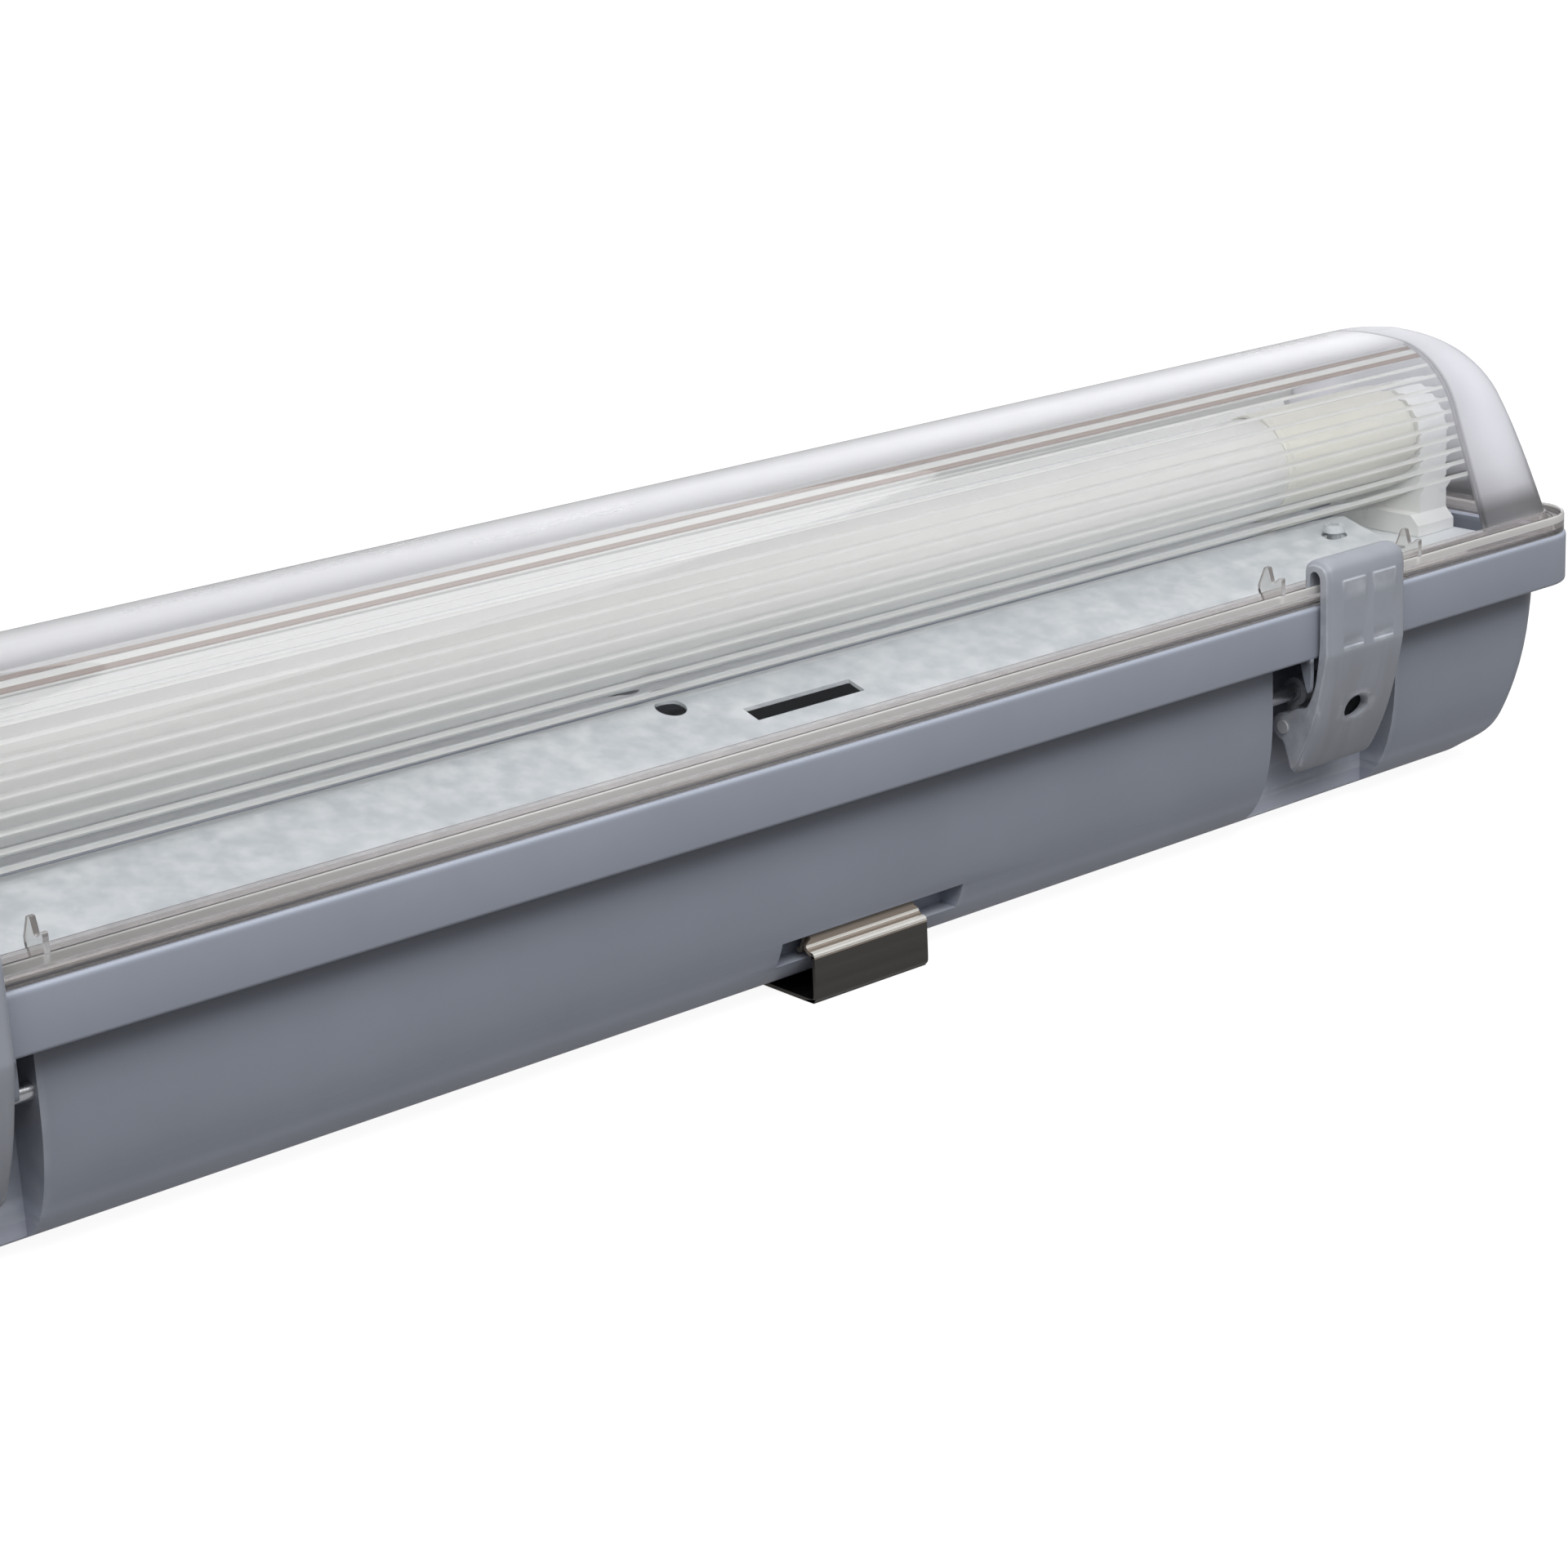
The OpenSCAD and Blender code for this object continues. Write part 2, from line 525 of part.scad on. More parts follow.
// hs is -1 for the front row and 1 for the back row
module lever(x, hs) {
  color([0.62, 0.63, 0.65]) translate([x, 0, 0]) mirror([0, hs < 0 ? 1 : 0, 0]) difference() {
    union() {
      along_x(-latch_w/2, latch_w/2) lever_plate();
      for (e = [0, 1]) mirror([e, 0, 0]) along_x(latch_w/2 - 2.3, latch_w/2) lever_cheek();
    }
    // hole through the handle
    translate([0, hw + 8, 30.3]) rotate([90, 0, 0]) cylinder(r = 2.7, h = 14, $fn = 48);
  }
}
module link(x, hs) {
  color([0.56, 0.57, 0.59]) translate([x, 0, 0]) mirror([0, hs < 0 ? 1 : 0, 0]) difference() {
    union() {
      translate([0, ax_u, ax_v]) bar_x(-latch_w/2 + 2.9, latch_w/2 - 2.9, 3.3);
      translate([0, pn_u, pn_v]) bar_x(-latch_w/2 + 2.9, latch_w/2 - 2.9, 3);
      translate([0, (ax_u + pn_u)/2, (ax_v + pn_v)/2]) cube([latch_w - 5.8, 3.4, 8.4], center = true);
    }
    translate([0, ax_u, ax_v]) bar_x(-latch_w, latch_w, axle_d/2 + ease);
    translate([0, pn_u, pn_v]) bar_x(-latch_w, latch_w, pin_d/2 + ease);
  }
}
module pin(x, hs) {
  color([0.70, 0.70, 0.70]) translate([x, hs*pn_u, pn_v]) bar_x(-latch_w/2, latch_w/2, pin_d/2);
}

module latch_lever_front_1() { lever(latch_x[0], -1); }
module latch_lever_front_2() { lever(latch_x[1], -1); }
module latch_lever_front_3() { lever(latch_x[2], -1); }
module latch_lever_front_4() { lever(latch_x[3], -1); }
module latch_lever_back_1() { lever(latch_x[0], 1); }
module latch_lever_back_2() { lever(latch_x[1], 1); }
module latch_lever_back_3() { lever(latch_x[2], 1); }
module latch_lever_back_4() { lever(latch_x[3], 1); }
module latch_link_front_1() { link(latch_x[0], -1); }
module latch_link_front_2() { link(latch_x[1], -1); }
module latch_link_front_3() { link(latch_x[2], -1); }
module latch_link_front_4() { link(latch_x[3], -1); }
module latch_link_back_1() { link(latch_x[0], 1); }
module latch_link_back_2() { link(latch_x[1], 1); }
module latch_link_back_3() { link(latch_x[2], 1); }
module latch_link_back_4() { link(latch_x[3], 1); }
module latch_pin_front_1() { pin(latch_x[0], -1); }
module latch_pin_front_2() { pin(latch_x[1], -1); }
module latch_pin_front_3() { pin(latch_x[2], -1); }
module latch_pin_front_4() { pin(latch_x[3], -1); }
module latch_pin_back_1() { pin(latch_x[0], 1); }
module latch_pin_back_2() { pin(latch_x[1], 1); }
module latch_pin_back_3() { pin(latch_x[2], 1); }
module latch_pin_back_4() { pin(latch_x[3], 1); }

housing();
gasket();
diffuser();
gear_tray();
tray_screws();
lampholder_bracket_left();
lampholder_bracket_right();
lampholder_left();
lampholder_right();
rotor_left();
rotor_right();
tube_shell();
tube_cap_left();
tube_cap_right();
tube_pins();
led_board();
led_chips();
led_driver();
terminal_block();
terminal_screws();
earth_screw();
wire_live();
wire_neutral();
wire_earth();
cable_grommet_left();
cable_grommet_right();
mount_clip_left();
mount_clip_right();
latch_axles();
latch_lever_front_1();
latch_lever_front_2();
latch_lever_front_3();
latch_lever_front_4();
latch_lever_back_1();
latch_lever_back_2();
latch_lever_back_3();
latch_lever_back_4();
latch_link_front_1();
latch_link_front_2();
latch_link_front_3();
latch_link_front_4();
latch_link_back_1();
latch_link_back_2();
latch_link_back_3();
latch_link_back_4();
latch_pin_front_1();
latch_pin_front_2();
latch_pin_front_3();
latch_pin_front_4();
latch_pin_back_1();
latch_pin_back_2();
latch_pin_back_3();
latch_pin_back_4();
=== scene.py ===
import json
import math
import bpy
import bmesh
import numpy as np
from mathutils import Matrix, Vector

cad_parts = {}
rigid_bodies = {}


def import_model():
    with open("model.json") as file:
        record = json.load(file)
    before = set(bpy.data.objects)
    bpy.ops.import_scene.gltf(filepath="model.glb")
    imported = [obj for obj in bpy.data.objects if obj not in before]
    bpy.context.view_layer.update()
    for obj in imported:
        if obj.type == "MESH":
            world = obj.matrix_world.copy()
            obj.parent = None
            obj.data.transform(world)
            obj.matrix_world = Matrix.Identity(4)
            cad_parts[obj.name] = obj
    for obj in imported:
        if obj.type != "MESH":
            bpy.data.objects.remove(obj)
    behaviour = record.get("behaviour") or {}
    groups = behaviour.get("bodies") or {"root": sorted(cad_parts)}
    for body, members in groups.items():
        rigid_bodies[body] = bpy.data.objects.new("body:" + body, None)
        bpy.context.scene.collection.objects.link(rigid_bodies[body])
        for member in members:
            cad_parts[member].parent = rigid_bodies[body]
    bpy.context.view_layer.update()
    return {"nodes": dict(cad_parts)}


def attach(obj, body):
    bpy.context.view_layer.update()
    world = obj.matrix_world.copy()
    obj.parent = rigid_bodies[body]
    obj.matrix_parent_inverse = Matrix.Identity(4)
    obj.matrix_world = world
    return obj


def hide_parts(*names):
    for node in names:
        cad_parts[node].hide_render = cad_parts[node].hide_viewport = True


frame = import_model()
nodes = frame["nodes"]
MM = 0.001
scene = bpy.context.scene
scene.view_settings.view_transform = "Standard"
scene.view_settings.look = "None"
scene.view_settings.exposure = 0.0
scene.view_settings.gamma = 1.0

# ------------------------------------------------------------------ camera
cam_data = bpy.data.cameras.new("camera")
cam_data.lens = 80.625
cam_data.sensor_width = 36.0
cam_data.clip_start, cam_data.clip_end = 0.01, 200.0
cam = bpy.data.objects.new("camera", cam_data)
scene.collection.objects.link(cam)
right = Vector((0.7637, -0.6438, -0.0471)).normalized()
back = Vector((-0.6035, -0.7381, 0.3014)).normalized()
up = back.cross(right).normalized()
right = up.cross(back)
cam.matrix_world = Matrix.Translation((-0.0571, -0.5649, 0.2650)) @ Matrix(
    ((right.x, up.x, back.x), (right.y, up.y, back.y), (right.z, up.z, back.z))).to_4x4()
scene.camera = cam


# ------------------------------------------------------------------ materials
def lin(r, g, b):
    f = lambda c: (c / 255 / 12.92) if c / 255 <= 0.04045 else ((c / 255 + 0.055) / 1.055) ** 2.4
    return (f(r), f(g), f(b))


class Mat:
    """A node-based material: builds up noise, colour, roughness and bump for one Principled shader."""

    def __init__(self, name):
        self.m = bpy.data.materials.new(name)
        self.m.use_nodes = True
        self.t = self.m.node_tree
        self.p = next(n for n in self.t.nodes if n.type == "BSDF_PRINCIPLED")
        self.out = next(n for n in self.t.nodes if n.type == "OUTPUT_MATERIAL")
        self.co = self.add("ShaderNodeTexCoord").outputs["Object"]

    def add(self, kind):
        return self.t.nodes.new(kind)

    def link(self, a, b):
        self.t.links.new(a, b)

    def set(self, **k):
        for name, v in k.items():
            self.p.inputs[name.replace("_", " ")].default_value = v

    def noise(self, scale, detail=3.0, rough=0.55, stretch=(1, 1, 1), distortion=0.0):
        mp = self.add("ShaderNodeMapping")
        mp.inputs["Scale"].default_value = stretch
        self.link(self.co, mp.inputs["Vector"])
        n = self.add("ShaderNodeTexNoise")
        n.inputs["Scale"].default_value = scale
        n.inputs["Detail"].default_value = detail
        n.inputs["Roughness"].default_value = rough
        n.inputs["Distortion"].default_value = distortion
        self.link(mp.outputs["Vector"], n.inputs["Vector"])
        return n.outputs["Fac"]

    def ramp(self, value, lo, hi, a=0.0, b=1.0):
        r = self.add("ShaderNodeMapRange")
        r.inputs["From Min"].default_value = lo
        r.inputs["From Max"].default_value = hi
        r.inputs["To Min"].default_value = a
        r.inputs["To Max"].default_value = b
        self.link(value, r.inputs["Value"])
        return r.outputs["Result"]

    def mix(self, fac, a, b):
        n = self.add("ShaderNodeMix")
        n.data_type = "RGBA"
        self.link(fac, n.inputs["Factor"])
        for v, s in ((a, n.inputs[6]), (b, n.inputs[7])):
            if isinstance(v, tuple):
                s.default_value = (*v, 1.0)
            else:
                self.link(v, s)
        return n.outputs[2]

    def times(self, a, b):
        n = self.add("ShaderNodeMath")
        n.operation = "MULTIPLY"
        for v, s in ((a, n.inputs[0]), (b, n.inputs[1])):
            if isinstance(v, (int, float)):
                s.default_value = v
            else:
                self.link(v, s)
        return n.outputs[0]

    def colour(self, c, var=0.05, scale=35.0, tint=None):
        dark = tuple(x * (1 - var) for x in c)
        light = tuple(min(1, x * (1 + var)) for x in c)
        if tint:
            light = tuple(min(1, x * t) for x, t in zip(light, tint))
        return self.mix(self.ramp(self.noise(scale, 4), 0.3, 0.7), dark, light)

    # lightens convex edges, found by pointiness, towards colour c: a painted highlight on the rounded edges, made
    # patchy by noise like rubbed wear
    def edges(self, base, c, lo=0.53, hi=0.6, amount=0.6):
        g = self.add("ShaderNodeNewGeometry")
        edge_sheen_and_wear = self.times(self.ramp(g.outputs["Pointiness"], lo, hi), self.ramp(self.noise(180, 3), 0.35, 0.65, 0.2, 1.0))
        return self.mix(self.times(edge_sheen_and_wear, amount), base, c)

    def rough(self, lo, hi, scale=60.0, stretch=(1, 1, 1)):
        self.link(self.ramp(self.noise(scale, 3, stretch=stretch), 0.3, 0.7, lo, hi), self.p.inputs["Roughness"])

    def bump(self, *layers):
        """layers of (height output, distance in metres, strength)"""
        prev = None
        for h, dist, strength in layers:
            b = self.add("ShaderNodeBump")
            b.inputs["Distance"].default_value = dist
            b.inputs["Strength"].default_value = strength
            self.link(h, b.inputs["Height"])
            if prev is not None:
                self.link(prev, b.inputs["Normal"])
            prev = b.outputs["Normal"]
        self.link(prev, self.p.inputs["Normal"])
        return prev

    def base(self, c):
        self.link(c, self.p.inputs["Base Color"])

    def lets_light(self, colour=(0.92, 0.93, 0.94)):
        """lamps shine through this clear or opal material"""
        tr = self.add("ShaderNodeBsdfTransparent")
        tr.inputs["Color"].default_value = (*colour, 1)
        path = self.add("ShaderNodeLightPath")
        mx = self.add("ShaderNodeMixShader")
        self.link(path.outputs["Is Shadow Ray"], mx.inputs[0])
        old = self.out.inputs["Surface"].links[0].from_socket
        self.link(old, mx.inputs[1])
        self.link(tr.outputs[0], mx.inputs[2])
        self.link(mx.outputs[0], self.out.inputs["Surface"])


def plastic(name, c, rough=(0.38, 0.5), var=0.04, grain=1400.0, depth=0.00003, wave=0.00012, edge=None, spec=0.5, scale=35.0):
    m = Mat(name)
    col = m.colour(c, var, scale)
    # lighter convex edges: painted highlight, patchy like rubbed wear
    if edge:
        col = m.edges(col, edge)
    m.base(col)
    m.rough(*rough)
    m.set(Specular_IOR_Level=spec)
    m.bump((m.noise(22.0, 2), wave, 0.35), (m.noise(grain, 4, 0.6), depth, 0.6))
    return m


def metal(name, c, rough=(0.22, 0.36), brushed=None, var=0.08, depth=0.00002):
    m = Mat(name)
    stretch = brushed or (1, 1, 1)
    m.base(m.mix(m.ramp(m.noise(500 if brushed else 60, 4, stretch=stretch), 0.3, 0.7), tuple(x * (1 - var) for x in c), tuple(min(1, x * (1 + var)) for x in c)))
    m.set(Metallic=1.0)
    m.rough(*rough, scale=900 if brushed else 120, stretch=stretch)
    m.bump((m.noise(40, 2), 0.0001, 0.25), (m.noise(1600, 3, stretch=stretch), depth, 0.7))
    return m


GREY = lin(175, 181, 195)
housing_mat = plastic("housing_plastic", GREY, rough=(0.36, 0.47), var=0.035, grain=2200, depth=0.000035, wave=0.0002, edge=lin(206, 210, 220))


def shade_painted_along(m, axis, stops):
    """colour of m times a grey that depends on the place along one axis (its absolute value, mm): painted light and
    shade, such as the painted shadow under the flange, painted bounce light near the foot and painted shade on the
    satin near the foot
    """
    sep = m.add("ShaderNodeSeparateXYZ")
    m.link(m.co, sep.inputs[0])
    ab = m.add("ShaderNodeMath")
    ab.operation = "ABSOLUTE"
    m.link(sep.outputs[axis], ab.inputs[0])
    r = m.add("ShaderNodeValToRGB")
    lo, hi = stops[0][0], stops[-1][0]
    m.link(m.ramp(ab.outputs[0], lo * MM, hi * MM), r.inputs[0])
    el = r.color_ramp.elements
    while len(el) < len(stops):
        el.new(0.5)
    for e, (z, k) in zip(el, stops):
        e.position = (z - lo) / (hi - lo)
        e.color = (*k, 1) if isinstance(k, tuple) else (k, k, k, 1)
    n = m.add("ShaderNodeMix")
    n.data_type, n.blend_type = "RGBA", "MULTIPLY"
    n.inputs["Factor"].default_value = 1.0
    m.link(m.p.inputs["Base Color"].links[0].from_socket, n.inputs[6])
    m.link(r.outputs["Color"], n.inputs[7])
    m.base(n.outputs[2])


# darker and lighter by height: lighter near the foot (painted bounce light from the floor), a dark band just under the
# flange (painted shadow), a lighter strip on the flange's top edge (painted highlight)
shade_painted_along(housing_mat, "Z", [(0, (1.22, 1.19, 1.16)), (5, (1.22, 1.19, 1.17)), (8.3, (1.05, 1.04, 1.02)), (10.2, (1.02, 1.02, 1.02)), (12.2, 0.82), (16, 0.71), (24, 0.67), (37, 0.63), (41.0, 0.52), (43.7, 0.30), (44.5, 0.71), (55.4, 0.76), (56.2, 0.98), (57, 1.12)])
latch_mat = plastic("latch_plastic", lin(160, 164, 173), rough=(0.34, 0.46), var=0.045, grain=1500, depth=0.00004, wave=0.0001, edge=lin(206, 209, 216), scale=90)
streaks = latch_mat.ramp(latch_mat.noise(230, 3, stretch=(1.0, 0.3, 0.16), distortion=0.9), 0.36, 0.64, 0.0, 1.0)
latch_sep = latch_mat.add("ShaderNodeSeparateXYZ")
latch_mat.link(latch_mat.co, latch_sep.inputs[0])
streaks = latch_mat.times(streaks, latch_mat.ramp(latch_sep.outputs["Z"], 0.047, 0.038))
latch_mat.base(latch_mat.mix(latch_mat.times(streaks, 0.34), latch_mat.p.inputs["Base Color"].links[0].from_socket, lin(140, 140, 142)))
link_mat = plastic("link_plastic", lin(128, 131, 136), rough=(0.4, 0.5), var=0.05, edge=lin(165, 168, 172), scale=120)
holder_mat = plastic("holder_plastic", lin(236, 237, 234), rough=(0.25, 0.35), var=0.02, edge=lin(247, 247, 245))
rotor_mat = plastic("rotor_plastic", lin(240, 240, 238), rough=(0.22, 0.3), var=0.02)
cap_mat = plastic("cap_plastic", lin(228, 227, 218), rough=(0.30, 0.4), var=0.02, grain=2500, wave=0.00005)
rubber_mat = plastic("rubber", lin(44, 45, 47), rough=(0.55, 0.7), var=0.12, grain=2600, depth=0.00006)
foam_mat = plastic("foam", lin(200, 194, 186), rough=(0.8, 0.95), var=0.12, grain=1500, depth=0.0004, scale=400)
enamel_mat = plastic("white_enamel", lin(193, 199, 203), rough=(0.34, 0.36), var=0.004, grain=900, depth=0.000008, wave=0.000004, edge=lin(247, 249, 250))
enamel_mat.set(Coat_Weight=0.25, Coat_Roughness=0.15)
screw_mat = plastic("painted_screw", lin(206, 211, 214), rough=(0.25, 0.35), var=0.04, edge=lin(240, 242, 243), scale=300)
bracket_mat = plastic("bracket_enamel", lin(226, 230, 231), rough=(0.32, 0.42), var=0.03, grain=900, depth=0.00003)
# the clip's stainless steel comes in three copies by how each band faces the light: this very dark one (painted shade)
# for the face and foot, a pale one with little metal (painted highlight) for the rolled bends and the fine bead, and a
# tan one (painted lit tone) for the shelf and band
steel_mat = metal("stainless", (0.125, 0.117, 0.108), rough=(0.16, 0.26), brushed=(0.02, 1, 1))
clip_bend_highlight_mat = metal("stainless_bend_painted_highlight", (0.86, 0.84, 0.79), rough=(0.22, 0.34), brushed=(0.02, 1, 1))
clip_bend_highlight_mat.set(Metallic=0.25)
clip_lit_band_mat = metal("stainless_band_painted_lit", (0.36, 0.305, 0.255), rough=(0.25, 0.38), brushed=(0.02, 1, 1), var=0.15)
clip_lit_band_mat.set(Metallic=0.45)
zinc_mat = metal("zinc_steel", (0.66, 0.67, 0.69), rough=(0.25, 0.4))
pin_mat = metal("pin_steel", (0.74, 0.74, 0.75), rough=(0.28, 0.4))
pin_mat.set(Metallic=0.35)
brass_mat = metal("brass_plated", (0.78, 0.66, 0.38), rough=(0.2, 0.35))
board_mat = plastic("board_white", lin(232, 234, 234), rough=(0.35, 0.45), var=0.02)
chip_mat = plastic("led_yellow", lin(238, 214, 120), rough=(0.3, 0.4), var=0.05)
green_mat = plastic("board_green", lin(38, 98, 62), rough=(0.3, 0.4), var=0.08)
block_mat = plastic("block_plastic", lin(226, 226, 220), rough=(0.4, 0.5), var=0.03)
brown_mat = plastic("wire_brown", lin(104, 66, 40), rough=(0.4, 0.5), var=0.05)
blue_mat = plastic("wire_blue", lin(50, 88, 160), rough=(0.4, 0.5), var=0.05)
earth_mat = plastic("wire_green", lin(120, 150, 60), rough=(0.4, 0.5), var=0.2, scale=200)

# clear polycarbonate of the diffuser and its rim
clear_mat = Mat("clear_polycarbonate")
clear_mat.set(Transmission_Weight=1.0, IOR=1.49)
clear_mat.base(clear_mat.mix(clear_mat.ramp(clear_mat.noise(7, 2, stretch=(0.15, 1, 1)), 0.3, 0.7), (0.80, 0.802, 0.805), (0.83, 0.83, 0.83)))
clear_mat.rough(0.012, 0.035, scale=40, stretch=(0.03, 1, 1))
clear_mat.bump((clear_mat.noise(9, 1, stretch=(0.02, 1, 1)), 0.0001, 0.02), (clear_mat.noise(500, 1, stretch=(0.002, 1, 1)), 0.000001, 0.02))
# slightly darker towards the fixture's middle: painted shade
shade_painted_along(clear_mat, "X", [(0, 0.95), (200, 0.965), (420, 1.0), (600, 1.0)])
clear_mat.lets_light((0.86, 0.86, 0.87))

# The rim's clear plastic is given in lit and shaded copies, one per strip of its section: this pale milky one (painted
# sheen) for the upper outer face, the bead and the small rib; a near-black one (painted shade) for the lower outer face
# and the inner walls; and a tan middle one for the rest.
rim_mat = Mat("clear_rim")
rim_mat.set(Transmission_Weight=0.42, IOR=1.49)
rim_mat.base(rim_mat.mix(rim_mat.ramp(rim_mat.noise(20, 3, stretch=(0.3, 1, 1)), 0.3, 0.7), (0.93, 0.915, 0.89), (0.98, 0.97, 0.95)))
rim_mat.rough(0.02, 0.07, scale=120, stretch=(0.1, 1, 1))
rim_mat.bump((rim_mat.noise(60, 2, stretch=(0.1, 1, 1)), 0.0001, 0.06), (rim_mat.noise(700, 3, stretch=(0.1, 1, 1)), 0.000005, 0.15))
# darker towards the fixture's middle: painted shade
shade_painted_along(rim_mat, "X", [(0, 0.40), (180, 0.50), (300, 0.82), (600, 1.0)])
rim_mat.lets_light()

# near-black copy of the rim plastic: painted shade
edge_mat = Mat("rim_outer_edge")
edge_mat.set(Transmission_Weight=0.85, IOR=1.49)
edge_mat.base(edge_mat.mix(edge_mat.ramp(edge_mat.noise(30, 3, stretch=(0.2, 1, 1)), 0.3, 0.7), (0.12, 0.115, 0.115), (0.19, 0.183, 0.182)))
edge_mat.rough(0.06, 0.16, scale=120, stretch=(0.1, 1, 1))
edge_mat.bump((edge_mat.noise(60, 2, stretch=(0.1, 1, 1)), 0.0001, 0.06))
edge_mat.lets_light((0.75, 0.74, 0.72))

# tan middle copy of the rim plastic, darker towards the fixture's middle: painted shade
land_mat = Mat("clear_rim_land")
land_mat.set(Transmission_Weight=0.72, IOR=1.49)
land_mat.base(land_mat.mix(land_mat.ramp(land_mat.noise(24, 3, stretch=(0.2, 1, 1)), 0.3, 0.7), (0.54, 0.505, 0.50), (0.64, 0.61, 0.60)))
land_mat.rough(0.05, 0.14, scale=120, stretch=(0.1, 1, 1))
land_mat.bump((land_mat.noise(60, 2, stretch=(0.1, 1, 1)), 0.0001, 0.06))
shade_painted_along(land_mat, "X", [(0, 0.62), (180, 0.74), (300, 0.95), (600, 1.05)])
land_mat.lets_light((0.85, 0.84, 0.83))

lug_mat = Mat("clear_lugs")
lug_mat.set(Transmission_Weight=0.94, IOR=1.49)
lug_mat.base(lug_mat.mix(lug_mat.ramp(lug_mat.noise(90, 3), 0.3, 0.7), (0.78, 0.77, 0.75), (0.90, 0.89, 0.87)))
lug_mat.rough(0.03, 0.08, scale=150)
lug_mat.bump((lug_mat.noise(120, 2), 0.0001, 0.12))
lug_mat.lets_light((0.9, 0.9, 0.89))

# satin ends and crown of the diffuser
satin_mat = Mat("satin_polycarbonate")
satin_mat.set(Transmission_Weight=0.64, IOR=1.45)
satin_mat.base(satin_mat.mix(satin_mat.ramp(satin_mat.noise(40, 3), 0.3, 0.7), lin(224, 224, 228), lin(232, 232, 235)))
satin_mat.rough(0.33, 0.42, scale=90)
satin_mat.bump((satin_mat.noise(18, 1), 0.0001, 0.08), (satin_mat.noise(2600, 4, 0.65), 0.00002, 0.6))
# darker low on the end near the foot, at the seam and at the end's outer edge, lighter between: painted shade and light
shade_painted_along(satin_mat, "Z", [(60, 0.66), (62, 0.42), (64.5, 0.44), (68.5, 1.02), (74, 1.14), (86, 1.16), (104.5, 1.12)])
shade_painted_along(satin_mat, "X", [(595, 0.34), (596.2, 0.45), (597.2, 0.88), (602, 0.98), (607, 1.06), (613, 1.04), (617.5, 0.92), (620, 0.60), (622, 0.48)])
satin_mat.lets_light((0.80, 0.80, 0.83))

crown_mat = Mat("satin_crown")
crown_mat.set(Transmission_Weight=0.55, IOR=1.45)
crown_mat.base(crown_mat.mix(crown_mat.ramp(crown_mat.noise(30, 3, stretch=(0.2, 1, 1)), 0.3, 0.7), lin(241, 241, 245), lin(248, 248, 250)))
crown_mat.rough(0.26, 0.34, scale=90, stretch=(0.2, 1, 1))
crown_mat.bump((crown_mat.noise(5, 1, stretch=(0.1, 1, 1)), 0.0001, 0.02), (crown_mat.noise(2600, 4, 0.65), 0.00001, 0.4))
# lightest along the apex, darker towards the strip's sides and towards the fixture's middle: painted sheen and shade
shade_painted_along(crown_mat, "Y", [(0, 1.06), (4, 0.98), (7, 0.88), (9.5, 0.78), (12.4, 0.64)])
shade_painted_along(crown_mat, "X", [(0, 0.72), (200, 0.78), (420, 0.90), (560, 0.98), (600, 1.0)])
crown_mat.lets_light((0.84, 0.84, 0.86))

# the fine ribs are slightly frosted
frost_mat = Mat("frosted_ribs")
frost_mat.set(Transmission_Weight=0.45, IOR=1.49)
frost_mat.base(frost_mat.mix(frost_mat.ramp(frost_mat.noise(25, 3, stretch=(0.1, 1, 1)), 0.3, 0.7), lin(208, 209, 207), lin(218, 219, 217)))
frost_mat.rough(0.30, 0.42, scale=60, stretch=(0.05, 1, 1))
frost_mat.bump((frost_mat.noise(26, 2, stretch=(0.04, 1, 1)), 0.0001, 0.05))
frost_mat.lets_light((0.8, 0.8, 0.8))

# the two outermost ribs beside the crown are painted brownish: a painted image of the far rim seen through them
rib_brown_refraction_mat = Mat("ribs_painted_brown")
rib_brown_refraction_mat.set(Transmission_Weight=0.4, IOR=1.49)
rib_brown_refraction_mat.base(rib_brown_refraction_mat.mix(rib_brown_refraction_mat.ramp(rib_brown_refraction_mat.noise(25, 3, stretch=(0.1, 1, 1)), 0.3, 0.7), lin(156, 141, 134), lin(170, 155, 148)))
rib_brown_refraction_mat.rough(0.25, 0.35, scale=60, stretch=(0.05, 1, 1))
rib_brown_refraction_mat.bump((rib_brown_refraction_mat.noise(26, 2, stretch=(0.04, 1, 1)), 0.0001, 0.1))
# darker towards the fixture's middle: painted shade
shade_painted_along(rib_brown_refraction_mat, "X", [(0, 0.58), (200, 0.78), (420, 0.85), (500, 0.86), (600, 0.84)])
rib_brown_refraction_mat.lets_light((0.7, 0.68, 0.67))

# opal glass of the tube
opal_mat = Mat("tube_opal")
opal_mat.base(opal_mat.mix(opal_mat.ramp(opal_mat.noise(18, 3, stretch=(0.2, 1, 1)), 0.3, 0.7), lin(233, 233, 230), lin(239, 239, 237)))
opal_mat.rough(0.12, 0.2, scale=50, stretch=(0.2, 1, 1))
# darker towards the tube's middle: painted shade
shade_painted_along(opal_mat, "X", [(0, 0.64), (180, 0.69), (320, 0.82), (440, 0.95), (600, 1.0)])
opal_mat.set(Subsurface_Weight=0.15, Subsurface_Radius=(0.004, 0.004, 0.004), Coat_Weight=0.4, Coat_Roughness=0.06)
opal_mat.bump((opal_mat.noise(25, 2, stretch=(0.3, 1, 1)), 0.0001, 0.3), (opal_mat.noise(1200, 2), 0.000006, 0.5))

